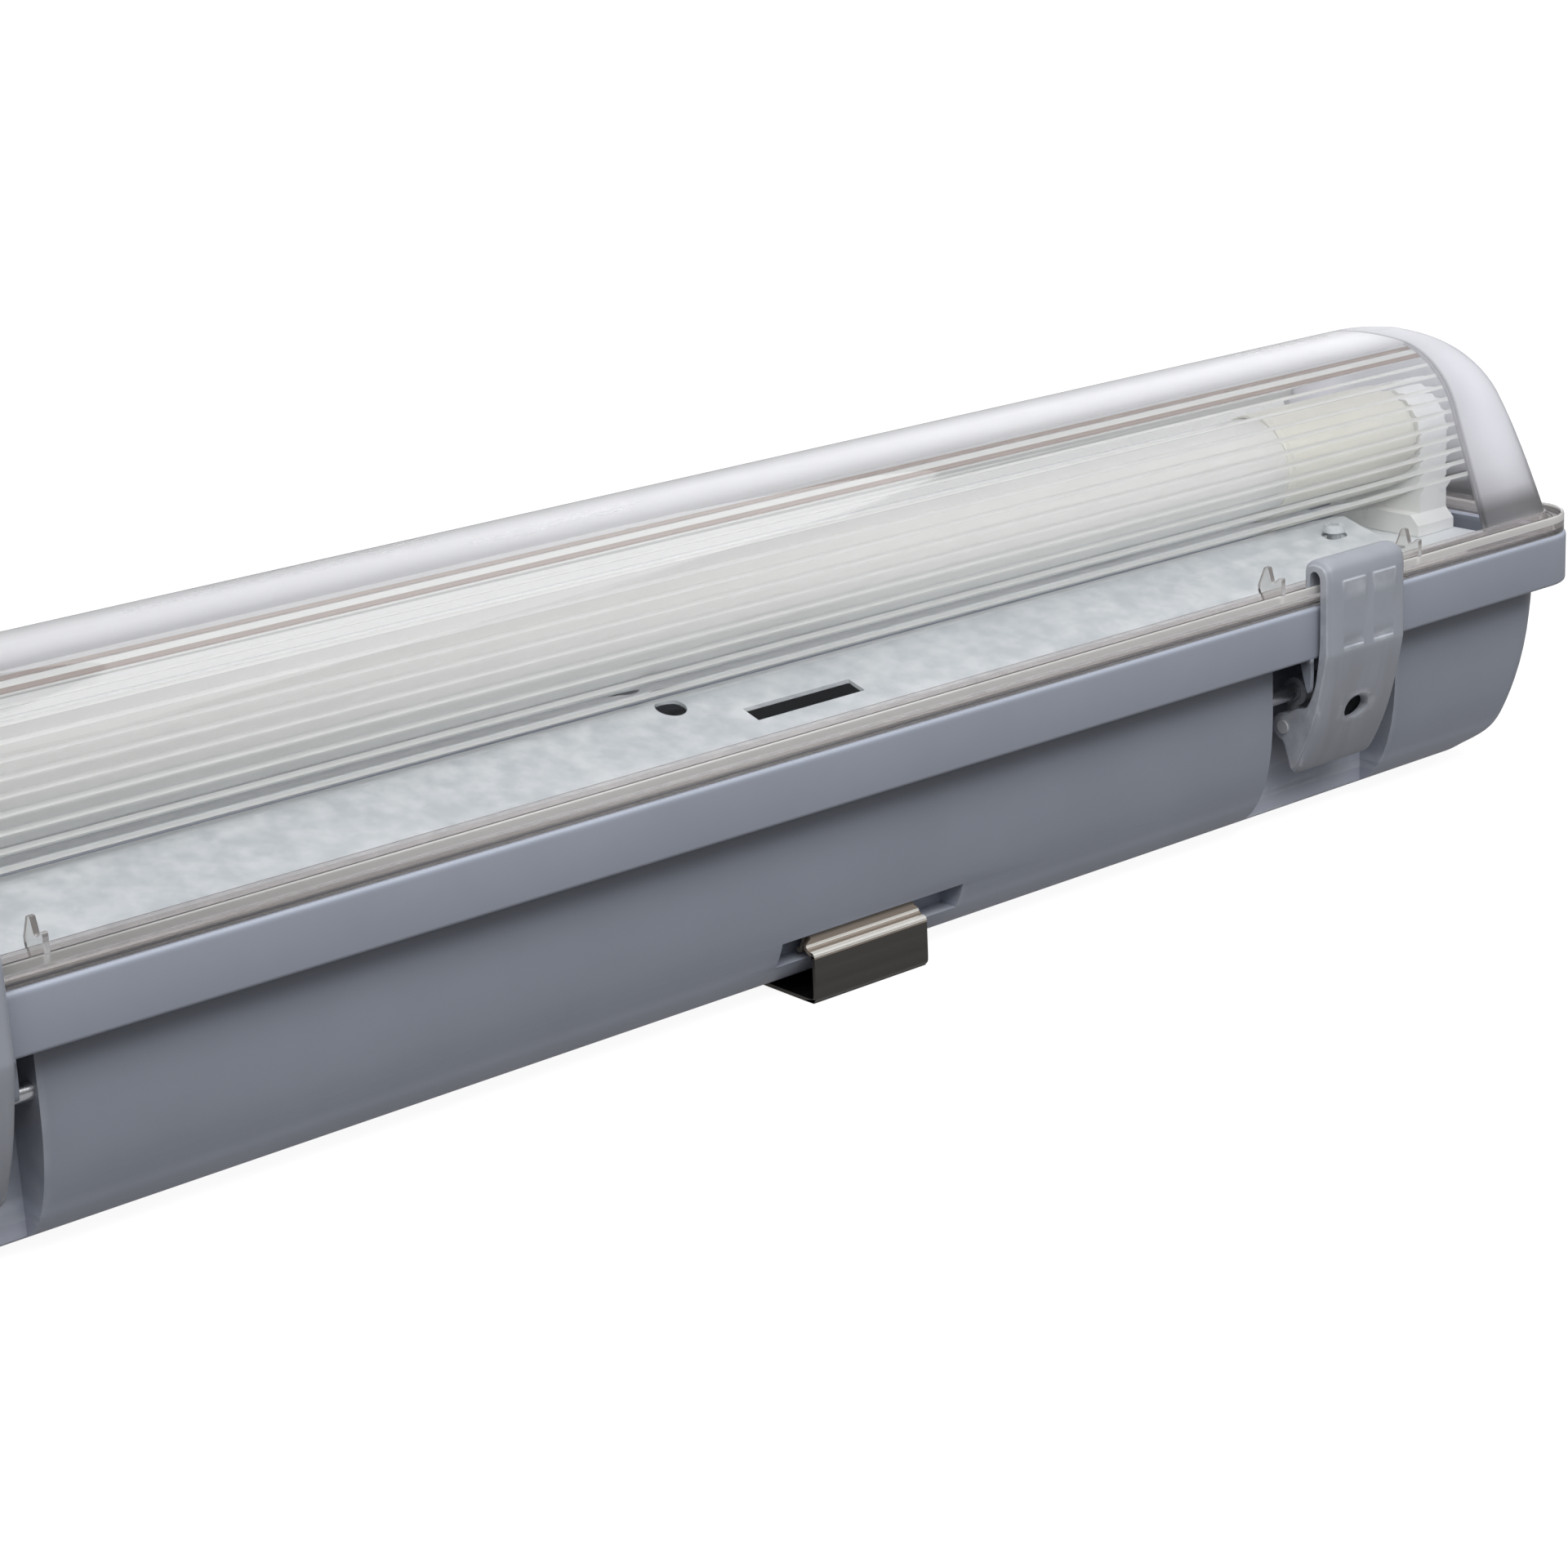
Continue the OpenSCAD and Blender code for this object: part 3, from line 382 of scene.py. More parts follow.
CAD_LOOKS = {
    "gasket": foam_mat, "gear_tray": enamel_mat, "tray_screws": screw_mat,
    "lampholder_bracket_left": bracket_mat, "lampholder_bracket_right": bracket_mat,
    "lampholder_left": holder_mat, "lampholder_right": holder_mat,
    "rotor_left": rotor_mat, "rotor_right": rotor_mat, "tube_pins": brass_mat,
    "led_board": board_mat, "led_chips": chip_mat, "led_driver": green_mat,
    "terminal_block": block_mat, "terminal_screws": brass_mat, "earth_screw": brass_mat,
    "wire_live": brown_mat, "wire_neutral": blue_mat, "wire_earth": earth_mat,
    "cable_grommet_left": rubber_mat, "cable_grommet_right": rubber_mat, "latch_axles": zinc_mat,
    "housing": housing_mat, "diffuser": clear_mat, "tube_shell": opal_mat,
    "tube_cap_left": cap_mat, "tube_cap_right": cap_mat,
    "mount_clip_left": steel_mat, "mount_clip_right": steel_mat,
}
for name, o in nodes.items():
    look = CAD_LOOKS.get(name)
    if look is None:
        look = latch_mat if "lever" in name else link_mat if "link" in name else pin_mat
    o.data.materials.clear()
    o.data.materials.append(look.m)


def soften(name, width, angle=35.0, segments=2):
    """A small rounding of a CAD node's edges, as a modifier."""
    m = nodes[name].modifiers.new("rounding", "BEVEL")
    m.width = width * MM
    m.segments = segments
    m.limit_method = "ANGLE"
    m.angle_limit = math.radians(angle)
    m.harden_normals = True
    m.use_clamp_overlap = True


# ------------------------------------------------------------------ mesh helpers
def make(name, verts, faces, mat, body, replaces=(), bevel=None, angle=40.0, segments=2, sharp=32.0, mats=None, face_mats=None, merge=1e-6):
    me = bpy.data.meshes.new(name)
    me.from_pydata([tuple(v) for v in verts], [], [tuple(f) for f in faces])
    for m in (mats or [mat]):
        me.materials.append(m.m)
    if face_mats is not None:
        me.polygons.foreach_set("material_index", np.array(face_mats, np.int32))
    bm = bmesh.new()
    bm.from_mesh(me)
    bmesh.ops.remove_doubles(bm, verts=bm.verts, dist=merge)
    bmesh.ops.dissolve_degenerate(bm, edges=bm.edges, dist=1e-7)
    bmesh.ops.recalc_face_normals(bm, faces=bm.faces)
    bm.to_mesh(me)
    bm.free()
    me.polygons.foreach_set("use_smooth", [True] * len(me.polygons))
    me.set_sharp_from_angle(angle=math.radians(sharp))
    me.update()
    o = bpy.data.objects.new(name, me)
    scene.collection.objects.link(o)
    if bevel:
        b = o.modifiers.new("bevel", "BEVEL")
        b.width = bevel * MM
        b.segments = segments
        b.limit_method = "ANGLE"
        b.angle_limit = math.radians(angle)
        b.harden_normals = True
    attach(o, body)
    if replaces:
        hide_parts(*replaces)
    return o


def box_part(c, s):
    """corners and faces of a block, centre c and size s in millimetres"""
    v = [(c[0] + dx * s[0] / 2, c[1] + dy * s[1] / 2, c[2] + dz * s[2] / 2) for dx in (-1, 1) for dy in (-1, 1) for dz in (-1, 1)]
    f = [(0, 1, 3, 2), (4, 6, 7, 5), (0, 4, 5, 1), (2, 3, 7, 6), (0, 2, 6, 4), (1, 5, 7, 3)]
    return v, f


def turned(profile, axis, centre, n=96, closed=False):
    """profile of (along, radius) turned about an axis: 'x' or 'z', centre in millimetres"""
    v, f = [], []
    m = len(profile)
    for a, r in profile:
        for k in range(n):
            t = 2 * math.pi * k / n
            c, s = r * math.cos(t), r * math.sin(t)
            v.append((a, centre[1] + c, centre[2] + s) if axis == "x" else (centre[0] + c, centre[1] + s, a))
    for i in range(m if closed else m - 1):
        for k in range(n):
            f.append((i * n + k, i * n + (k + 1) % n, ((i + 1) % m) * n + (k + 1) % n, ((i + 1) % m) * n + k))
    return v, f


class Parts:
    """Collects several closed shells into one mesh."""

    def __init__(self):
        self.v, self.f, self.m = [], [], []

    def add(self, v, f, m=0):
        n = len(self.v)
        self.v += [tuple(float(c) * MM for c in p) for p in v]
        self.f += [tuple(i + n for i in q) for q in f]
        self.m += [m] * len(f)
        return self


def evaluated(o):
    """The mesh of o with its modifiers applied, as plain data."""
    dg = bpy.context.evaluated_depsgraph_get()
    return bpy.data.meshes.new_from_object(o.evaluated_get(dg))


# ------------------------------------------------------------------ dimensions, mm
HW, HL = 45.0, 625.0
FB = 44.4                          # underside of the flange
BW, BL = 39.0, 618.4
LX = [-540.0, -180.0, 180.0, 540.0]
CLX = 395.3                        # clips
NX = 397.8                         # their windows in the housing


# ------------------------------------------------------------------ housing
def build_housing():
    pocket = [(x - 21.3, x + 21.3) for x in LX]
    pocket_in = [(x - 23.5, x + 23.5) for x in LX]
    notch = [(s * NX - 25.4, s * NX + 25.4) for s in (-1, 1)]
    notch_in = [(s * NX - 27.6, s * NX + 27.6) for s in (-1, 1)]
    kinds = [pocket, pocket_in, notch, notch_in]
    stops = sorted({b for k in kinds for ab in k for b in ab})
    cols = []                       # (x, flags for each kind)

    def flags(x):
        return tuple(any(a < x < b for a, b in k) for k in kinds)

    for s in stops:
        cols.append((s, flags(s - 1e-4)))
        cols.append((s, flags(s + 1e-4)))
    for x in np.arange(-600, 600.1, 30):
        if min(abs(x - s) for s in stops) > 6 and abs(x) < 596:
            cols.append((float(x), flags(x)))
    order = {id(c): i for i, c in enumerate(cols)}
    cols.sort(key=lambda c: (c[0], order[id(c)]))

    NC, NE = 10, 12

    def loop(a, b, r, z, zone):
        """one ring of the moulding: insets a (ends) and b (sides), corner radius r, height z, zone 'out', 'in' or ''"""
        hx, hy = HL - a, HW - b
        r = max(0.0, min(r, hy, hx))
        pts = []

        def side(sign):
            res = []
            for x, (p, p2, n, n2) in cols:
                xx = max(-(hx - r), min(hx - r, x))
                y = hy
                if zone == "out":
                    if p and z < FB + 0.01:
                        y = min(y, 28.0)
                    if n and 9.205 < z < 15.105:
                        y = min(y, 29.0)
                if zone == "in":
                    if p2 and z < 47.41:
                        y = min(y, 25.8)
                    if n2 and z < 17.31:
                        y = min(y, 26.8)
                res.append((xx, sign * y, z))
            return res

        def corner(sx, sy, a0):
            return [(sx * (hx - r) + r * math.cos(math.radians(a0 + 90 * k / NC)), sy * (hy - r) + r * math.sin(math.radians(a0 + 90 * k / NC)), z) for k in range(NC + 1)]

        pts += side(-1)
        pts += corner(1, -1, -90)
        pts += [(hx, (hy - r) * t, z) for t in np.linspace(-1, 1, NE + 1)[1:-1]]
        pts += corner(1, 1, 0)
        pts += side(1)[::-1]
        pts += corner(-1, 1, 90)
        pts += [(-hx, (hy - r) * t, z) for t in np.linspace(1, -1, NE + 1)[1:-1]]
        pts += corner(-1, -1, 180)
        return pts

    def flank_y(z, t):
        """half width of the tub at height z, wall inset t"""
        if z >= 34:
            return 39.0 - t
        sp = min(1.0, (34 - z) / (31.6 - t)) ** (2.35 / 2)
        return 22 + (17 - t) * math.sqrt(max(0.0, 1 - sp * sp)) ** (2 / 2.35)

    END_Z = [2.4, 2.6, 3.0, 3.8, 4.6, 5.3, 5.8, 6.2, 6.8, 7.6, 8.6, 10, 12, 16, 20, 24, 28, 32, 36, 40, 44.4]
    END_X = [595.0, 597.8, 598.9, 599.9, 600.8, 601.8, 603.2, 605.0, 607.0, 608.6, 609.8, 610.6, 611.2, 612.3, 613.5, 614.7, 615.8, 616.75, 617.5, 618.1, 618.4]

    def tub_row(z, t, zone):
        y = flank_y(z, t)
        cx = (y - 22) / (17 - t)
        x = float(np.interp(z - t, END_Z, END_X)) - t
        return (HL - x, HW - y, max(3.0, 10 - t - 5 * (1 - cx)), z, zone)

    rings = []
    # inside, from the floor's middle line up the wall
    rings.append((HL - 560, HW, 0, 4.6, "in"))
    rings += [tub_row(z, 2.2, "in") for z in (4.62, 5.2, 6.2, 7.4, 8.6, 10.2, 12.5, 15.0, 17.3, 17.32, 20, 24, 28, 32, 36)]
    rings += [(8.8, 8.2, 7.8, 42.0, "in"), (8.8, 8.2, 7.8, 47.4, "in"), (8.8, 8.2, 7.8, 47.42, "in"), (8.8, 8.2, 7.8, 56.4, ""), (9.0, 8.0, 8.0, 56.7, "")]
    rings += [(8.4, 7.8, 8.3, 56.8, ""), (6.6, 6.1, 10.0, 56.8, ""), (6.25, 5.75, 10.3, 56.6, ""), (6.2, 5.6, 10.4, 56.3, "")]
    rings += [(6.2, 5.6, 10.4, 47.4, ""), (2.3, 2.3, 9.7, 47.4, ""), (2.3, 2.3, 9.7, 56.3, ""), (2.2, 2.2, 9.8, 56.6, ""), (1.9, 1.9, 10.1, 56.8, "")]
    # flange, with its outer edges rounded
    R = 0.95
    for k in range(7):
        q = math.pi / 2 * k / 6
        rings.append((R - R * math.sin(q), R - R * math.sin(q), 12 - R + R * math.sin(q), 56.8 - R + R * math.cos(q), ""))
    R = 0.8
    for k in range(5):
        q = math.pi / 2 * k / 4
        rings.append((R - R * math.cos(q), R - R * math.cos(q), 12 - R + R * math.cos(q), FB + R - R * math.sin(q), ""))
    rings += [(5.8, 5.2, 10.4, FB, ""), (6.25, 5.65, 10.1, FB, "out"), (6.5, 5.9, 10.0, FB - 0.25, "out"), (6.6, 6.0, 10.0, FB - 0.8, "out"), (6.9, 6.0, 10.0, 40.0, "out")]
    rings += [tub_row(z, 0.0, "out") for z in (36, 32, 28, 24, 20, 17.6, 15.11, 15.1, 13.6, 12, 10.6, 9.21, 9.2, 8.4, 7.6, 7.0, 6.5, 6.1, 5.8, 5.4, 4.9, 4.4, 3.9, 3.4, 3.0, 2.7, 2.5, 2.41)]
    rings.append((HL - 560, HW, 0, 2.4, "out"))

    loops = [loop(*r) for r in rings]
    N = len(loops[0])
    v = [p for lp in loops for p in lp]
    f = []
    for j in range(len(loops) - 1):
        for c in range(N):
            d = (c + 1) % N
            f.append((j * N + c, (j + 1) * N + c, (j + 1) * N + d, j * N + d))
    parts = Parts().add(v, f)
    # posts for the tray screws
    for sx in (-1, 1):
        for sy in (-1, 1):
            c = (sx * 569.5, sy * 11.8, 0)
            parts.add(*turned([(4.0, 0.0), (4.0, 4.6), (8.0, 4.0), (53.1, 3.9), (53.5, 3.5), (53.5, 1.7), (42, 1.7), (42, 0)], "z", c, 32))
    # flat round pads of the cable inlets
    for s in (-1, 1):
        parts.add(*turned([(s * (BL - 13), 10.0), (s * (BL - 13), 15.2), (s * (BL - 0.4), 15.2), (s * BL, 14.8), (s * BL, 10.4), (s * (BL - 0.4), 10.0)], "x", (0, 0, 26.0), 64, closed=True))
    # thin guide tabs hanging from the flange on both sides of each latch
    tab = [(44.9, FB + 0.6), (44.9, 41.0), (44.7, 38.0), (44.4, 36.9), (44.05, 36.6), (43.7, 36.9), (43.1, 38.6), (42.1, 42.0), (41.6, FB + 0.6)]
    for s in (-1, 1):
        for x in LX:
            for e in (-1, 1):
                x0, x1 = x + e * 13.95, x + e * 15.05
                k = len(tab)
                vv = [(x0, s * y, z) for y, z in tab] + [(x1, s * y, z) for y, z in tab]
                parts.add(vv, [tuple(range(k)), tuple(range(k, 2 * k))[::-1]] + [(c, (c + 1) % k, k + (c + 1) % k, k + c) for c in range(k)])
    # pad under the terminal block
    parts.add(*box_part((-489, 0, 5.0), (20, 24, 3.2)))
    o = make("housing_moulding", parts.v, parts.f, housing_mat, "root", replaces=["housing"], sharp=42, merge=2e-6)
    # rounded edges of pockets, notches and ribs
    me = o.data
    bm = bmesh.new()
    bm.from_mesh(me)
    weight = bm.edges.layers.float.new("bevel_weight_edge")
    for e in bm.edges:
        if len(e.link_faces) == 2 and e.calc_face_angle(0) > math.radians(42) and e.calc_length() > 0.0006:
            m = (e.verts[0].co + e.verts[1].co) / 2
            outside = m.z < 0.0455 and abs(m.y) > 0.0245
            e[weight] = 0.45 if m.z < 0.016 else 1.0 if outside and abs(m.z - FB * MM) > 0.0002 else 0.4
    bm.to_mesh(me)
    bm.free()
    b = o.modifiers.new("bevel", "BEVEL")
    b.width, b.segments, b.limit_method, b.harden_normals = 0.9 * MM, 3, "WEIGHT", True


build_housing()

# ------------------------------------------------------------------ diffuser
SEAM = 595.7
Z0 = 60.2                          # the dome is rooted in the rim here
CROWN = 104.39
DOME_T = 2.0
SMOOTH_Y = 12.3                    # half width of the smooth satin strip over the crown
RIBS = [14.8, 17.9, 21.0, 24.1, 27.2, 30.3, 33.45, 36.75, 40.2, 43.8, 47.5, 51.0]   # along the outline from the foot


def dome_outline(t=0.0, shoulder=24):
    """half of the outline from the foot to the crown, inset t, as (y, z)"""
    f = math.radians(19.6)
    foot_y = 38.15 - (Z0 - 59.39) * math.tan(f)
    foot = (foot_y - t / math.cos(f), Z0)
    top = (6.74 + (22 - t) * math.cos(f), 81.99 + (22 - t) * math.sin(f))
    pts = [(foot[0] + u * (top[0] - foot[0]), foot[1] + u * (top[1] - foot[1])) for u in np.linspace(0, 1, 10)[:-1]]
    pts += [(6.74 + (22 - t) * math.cos(math.radians(a)), 81.99 + (22 - t) * math.sin(math.radians(a))) for a in np.linspace(19.6, 83.0, shoulder)]
    pts += [((77 - t) * math.cos(math.radians(a)), 27.36 + (77 - t) * math.sin(math.radians(a))) for a in (84.75, 86.5, 88.25, 90.0)]
    return [(max(0.0, y), z) for y, z in pts]


def along(pts, s):
    """point and inward normal at arc length s"""
    for (ay, az), (by, bz) in zip(pts, pts[1:]):
        d = math.hypot(by - ay, bz - az)
        if s <= d or (by, bz) == pts[-1]:
            u = min(1.0, s / d) if d else 0
            return (ay + u * (by - ay), az + u * (bz - az)), ((-(bz - az)) / d, (by - ay) / d)
        s -= d


def dome_plan(z):
    """end and corner radius of the dome's plan at height z"""
    k = min(1.0, max(0.0, (z - Z0) / (CROWN - Z0)))
    x = 604.436 + (621.255 - 604.436) * max(0.0, 1 - k ** 2.381) ** (1 / 2.125) - 0.111 * (z - Z0) * (1 - k)
    return x, 4.9 + 4.54 * k * k


MID = [float(x) for x in np.linspace(-(SEAM - 0.6), SEAM - 0.6, 33)]
STATIONS = [-SEAM - 0.7, -SEAM - 0.22, -SEAM, -SEAM + 0.22] + MID + [SEAM - 0.22, SEAM, SEAM + 0.22, SEAM + 0.7]


def dome_loop(y, z, t, zp=None, rib=None, groove=0.0):
    """one level loop of the shell: half width y, height z, inset t, zp = height that sets the plan's end"""
    xe, rc = dome_plan(z if zp is None else zp)
    xe, rc = xe - t, max(1.4, rc - t * 0.8)
    rc = min(rc, y)
    pts = []
    for sgn in (-1, 1):
        xs = STATIONS if sgn < 0 else STATIONS[::-1]
        for x in xs:
            yy, zz = y, z
            if groove and abs(abs(x) - SEAM) < 0.01 and y > SMOOTH_Y:
                yy, zz = y - groove * 0.8, z - groove * 0.5
            if rib and abs(x) < SEAM - 0.3:
                yy, zz = y + rib[0], z + rib[1]
            pts.append((x, sgn * yy, zz))
        e = -sgn
        nc = 10
        for k in range(1, nc + 1):
            a = math.pi / 2 * k / nc
            pts.append((e * (xe - rc + rc * math.sin(a)), sgn * (y - rc + rc * math.cos(a)), z))
        for u in (0.66, 0.33, 0.0, -0.33, -0.66):
            pts.append((e * xe, sgn * u * (y - rc), z))
        for k in range(nc, 0, -1):
            a = math.pi / 2 * k / nc
            pts.append((e * (xe - rc + rc * math.sin(a)), -sgn * (y - rc + rc * math.cos(a)), z))
        pts.append((e * (xe - rc - 0.0), -sgn * y, z))
    return pts


def build_dome():
    outer = dome_outline(0)
    fine = dome_outline(0, 90)
    length = sum(math.dist(a, b) for a, b in zip(fine, fine[1:]))
    loops_out = [dome_loop(y, z, 0.0, groove=0.35) for y, z in outer]
    inner = [(0.0, 0.0, 0), (RIBS[0] * 0.5, 0.0, 0), (RIBS[0] - 2.0, 0.0, 0)]      # (place, height of rib, material)
    for i, at in enumerate(RIBS):
        w, h, mat = (0.5, 0.13, 5) if i < 10 else (0.8, 0.14, 4)
        for u, k in ((-1, 0.0), (-0.62, 0.62), (0.0, 1.0), (0.62, 0.62), (1.0, 0.0)):
            inner.append((at + u * w, k * h, mat if u < 1 else 5 if i == 10 else 0))
        if i < len(RIBS) - 1:
            mid = (at + RIBS[i + 1]) / 2
            gap = 5 if i == 10 else 0
            inner += [(mid - 0.5, 0.0, gap), (mid + 0.5, 0.0, gap)]
    at = RIBS[-1] + 2.2
    while at < length - 0.5:
        inner.append((at, 0.0, 0))
        at += 2.0
    loops_in, kinds = [], []
    for at, h, mat in inner:
        (y, z), (ny, nz) = along(fine, at)
        yi, zi = y + ny * DOME_T, z + nz * DOME_T
        loops_in.append(dome_loop(max(0.0, yi), zi, DOME_T, zp=min(CROWN, zi + DOME_T * max(0.0, (zi - 85) / (CROWN - DOME_T - 85))), rib=(ny * h, nz * h)))
        kinds.append(mat)
    loops_in.append(dome_loop(0.0, CROWN - 0.03 - DOME_T, DOME_T, zp=CROWN))
    kinds.append(0)
    n = len(loops_out[0])
    v = [q for lp in loops_out for q in lp] + [q for lp in loops_in for q in lp]
    f, m = [], []

    def kind(face, mat=0):
        cx = sum(v[i][0] for i in face) / len(face)
        cy = sum(v[i][1] for i in face) / len(face)
        return 1 if abs(cx) > SEAM else 3 if abs(cy) < SMOOTH_Y else mat

    for base, count in ((0, len(loops_out)), (len(loops_out), len(loops_in))):
        for j in range(base, base + count - 1):
            for c in range(n):
                q = (j * n + c, j * n + (c + 1) % n, (j + 1) * n + (c + 1) % n, (j + 1) * n + c)
                f.append(q)
                m.append(kind(q, kinds[j - base] if base else 0))
    k = len(loops_out) * n
    for c in range(n):
        q = (c, (c + 1) % n, k + (c + 1) % n, k + c)
        f.append(q)
        m.append(kind(q))
    return v, f, m


def ring_of(hx, hy, r, z, nc=12, ns=40, ne=10):
    pts = []
    r = min(r, hy)
    xs = np.linspace(-(hx - r), hx - r, ns + 1)
    pts += [(x, -hy, z) for x in xs[:-1]]
    pts += [(hx - r + r * math.cos(a), -hy + r + r * math.sin(a), z) for a in np.linspace(-math.pi / 2, 0, nc + 1)]
    pts += [(hx, y, z) for y in np.linspace(-(hy - r), hy - r, ne + 1)[1:-1]]
    pts += [(hx - r + r * math.cos(a), hy - r + r * math.sin(a), z) for a in np.linspace(0, math.pi / 2, nc + 1)]
    pts += [(x, hy, z) for x in xs[::-1][1:-1]]
    pts += [(-hx + r + r * math.cos(a), hy - r + r * math.sin(a), z) for a in np.linspace(math.pi / 2, math.pi, nc + 1)]
    pts += [(-hx, y, z) for y in np.linspace(hy - r, -(hy - r), ne + 1)[1:-1]]
    pts += [(-hx + r + r * math.cos(a), -hy + r + r * math.sin(a), z) for a in np.linspace(math.pi, 1.5 * math.pi, nc + 1)][:-1]
    return pts


def closed_mesh(name, v, f, m, mats):
    me = bpy.data.meshes.new(name)
    me.from_pydata([tuple(float(c) * MM for c in q) for q in v], [], [tuple(q) for q in f])
    for x in mats:
        me.materials.append(x.m)
    me.polygons.foreach_set("material_index", np.array(m, np.int32))
    bm = bmesh.new()
    bm.from_mesh(me)
    bmesh.ops.remove_doubles(bm, verts=bm.verts, dist=4e-6)
    bmesh.ops.dissolve_degenerate(bm, edges=bm.edges, dist=1e-6)
    bmesh.ops.recalc_face_normals(bm, faces=bm.faces)
    bm.to_mesh(me)
    bm.free()
    o = bpy.data.objects.new(name, me)
    scene.collection.objects.link(o)
    return o


def build_diffuser():
    # closed section of the rim: insets from 624.5 (ends) and 44.5 (sides), height, corner radius
    sec = [(0.0, 0.0, 57.1, 11.5), (0.0, 0.0, 58.35, 11.5), (0.0, 0.0, 59.7, 11.5), (0.0, 0.0, 60.9, 11.5), (0.12, 0.12, 61.3, 11.4), (0.42, 0.42, 61.5, 11.1), (0.75, 0.75, 61.35, 10.8), (0.9, 0.9, 60.95, 10.6),
           (0.95, 0.95, 59.95, 10.55), (1.15, 1.1, 59.6, 10.35), (1.6, 1.35, 59.42, 9.9), (2.7, 1.75, 59.42, 8.8), (2.95, 1.85, 59.55, 8.55), (3.1, 1.95, 59.8, 8.4),
           (3.35, 2.05, 59.9, 8.15), (3.6, 2.15, 59.8, 7.9), (3.75, 2.25, 59.55, 7.75), (4.0, 2.35, 59.42, 7.5), (5.5, 2.65, 59.42, 6.0), (5.95, 2.85, 59.6, 5.55),
           (6.2, 3.0, 60.0, 5.3), (6.55, 3.25, 61.0, 4.95), (8.7, 5.45, 61.0, 3.0), (8.15, 5.4, 59.4, 3.3), (7.9, 5.35, 58.6, 3.5), (7.6, 5.3, 57.4, 3.8), (7.2, 5.2, 57.0, 4.2),
           (4.55, 4.95, 56.95, 7.0), (4.5, 4.9, 52.9, 7.0), (4.3, 4.8, 52.65, 7.1), (3.1, 2.9, 52.65, 8.5), (2.9, 2.75, 52.9, 8.7), (2.85, 2.7, 56.95, 8.8), (0.25, 0.25, 56.95, 11.25)]
    # each strip of the rim gets a lit or shaded copy of the clear plastic: 2 pale (painted sheen), 6 near-black
    # (painted shade), 7 tan middle
    strip_painted_tone = {0: 6, 2: 2, 3: 2, 4: 2, 5: 2, 6: 2, 7: 6, 8: 6, 12: 2, 13: 2, 15: 6, 18: 6, 32: 6, 33: 6}     # material of each strip of the section
    loops = [ring_of(624.5 - a, 44.5 - d, r, z) for d, a, z, r in sec]
    n, m = len(loops[0]), len(loops)
    v = [p for lp in loops for p in lp]
    f = [(j * n + c, ((j + 1) % m) * n + c, ((j + 1) % m) * n + (c + 1) % n, j * n + (c + 1) % n) for j in range(m) for c in range(n)]
    mats = [clear_mat, satin_mat, rim_mat, crown_mat, rib_brown_refraction_mat, frost_mat, edge_mat, land_mat, lug_mat]
    rim = closed_mesh("diffuser_moulding", v, f, [strip_painted_tone.get(j, 7) for j in range(m) for c in range(n)], mats)
    v, f, m = build_dome()
    dome = closed_mesh("dome_part", v, f, m, mats)
    # locating lugs beside the latches: thin plates with a notched top
    out = [(44.35, 59.0), (44.35, 65.2), (44.15, 65.4), (43.5, 65.4), (43.3, 65.2), (41.9, 64.0), (41.6, 63.9), (41.3, 64.2), (40.4, 67.1), (40.2, 67.4), (39.3, 67.4), (39.0, 67.2), (37.2, 63.0), (37.4, 59.0)]
    p = Parts()
    for sgn in (-1, 1):
        for x in LX:
            for e in (-1, 1):
                x0, x1 = x + e * 23.5 - 0.6, x + e * 23.5 + 0.6
                k = len(out)
                vv = [(x0, sgn * y, z) for y, z in out] + [(x1, sgn * y, z) for y, z in out]
                p.add(vv, [tuple(range(k)), tuple(range(k, 2 * k))[::-1]] + [(c, (c + 1) % k, k + (c + 1) % k, k + c) for c in range(k)])
    lugs = closed_mesh("lug_part", [tuple(c / MM for c in q) for q in p.v], p.f, [8 if len(q) > 4 else 7 for q in p.f], mats)
    for other in (lugs, dome):
        b = rim.modifiers.new("join", "BOOLEAN")
        b.operation, b.solver, b.object = "UNION", "EXACT", other
        b.material_mode = "TRANSFER"
    bpy.context.view_layer.update()
    me = evaluated(rim)
    for o in (lugs, dome):
        bpy.data.objects.remove(o)
    rim.modifiers.clear()
    old = rim.data
    rim.data = me
    bpy.data.meshes.remove(old)
    me.polygons.foreach_set("use_smooth", [True] * len(me.polygons))
    me.set_sharp_from_angle(angle=math.radians(24))
    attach(rim, "root")
    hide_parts("diffuser")
    return rim


build_diffuser()


# ------------------------------------------------------------------ tube
def build_tube():
    prof = [(-560.5, 11.3), (-560.6, 12.2), (-560.2, 12.5)] + [(x, 12.5) for x in np.linspace(-540, 540, 28)] + [(560.2, 12.5), (560.6, 12.2), (560.5, 11.3)] + [(x, 11.3) for x in (300, 0, -300)]
    v, f = turned(prof, "x", (0, 0, 78.0), 96, closed=True)
    p = Parts().add(v, f)
    make("tube_glass", p.v, p.f, opal_mat, "tube", replaces=["tube_shell"], sharp=40)
    for side, s in (("left", -1), ("right", 1)):
        prof = [(552.7, 12.55), (552.75, 12.85), (553.0, 12.98), (553.6, 13.0), (554.6, 13.0), (554.9, 12.9), (555.2, 13.0), (597.4, 13.0), (598.2, 12.85), (598.8, 12.4), (599.3, 11.7), (599.65, 10.6), (599.7, 9.0),
                (599.7, 0.0)]
        inner = [(597.5, 0.0), (597.5, 11.1), (560.8, 11.1), (560.8, 12.55)]
        v, f = turned([(s * x, r) for x, r in prof + inner], "x", (0, 0, 78.0), 96, closed=True)
        p = Parts().add(v, f)
        make("tube_end_cap_" + side, p.v, p.f, cap_mat, "tube", replaces=["tube_cap_" + side], sharp=30)


build_tube()


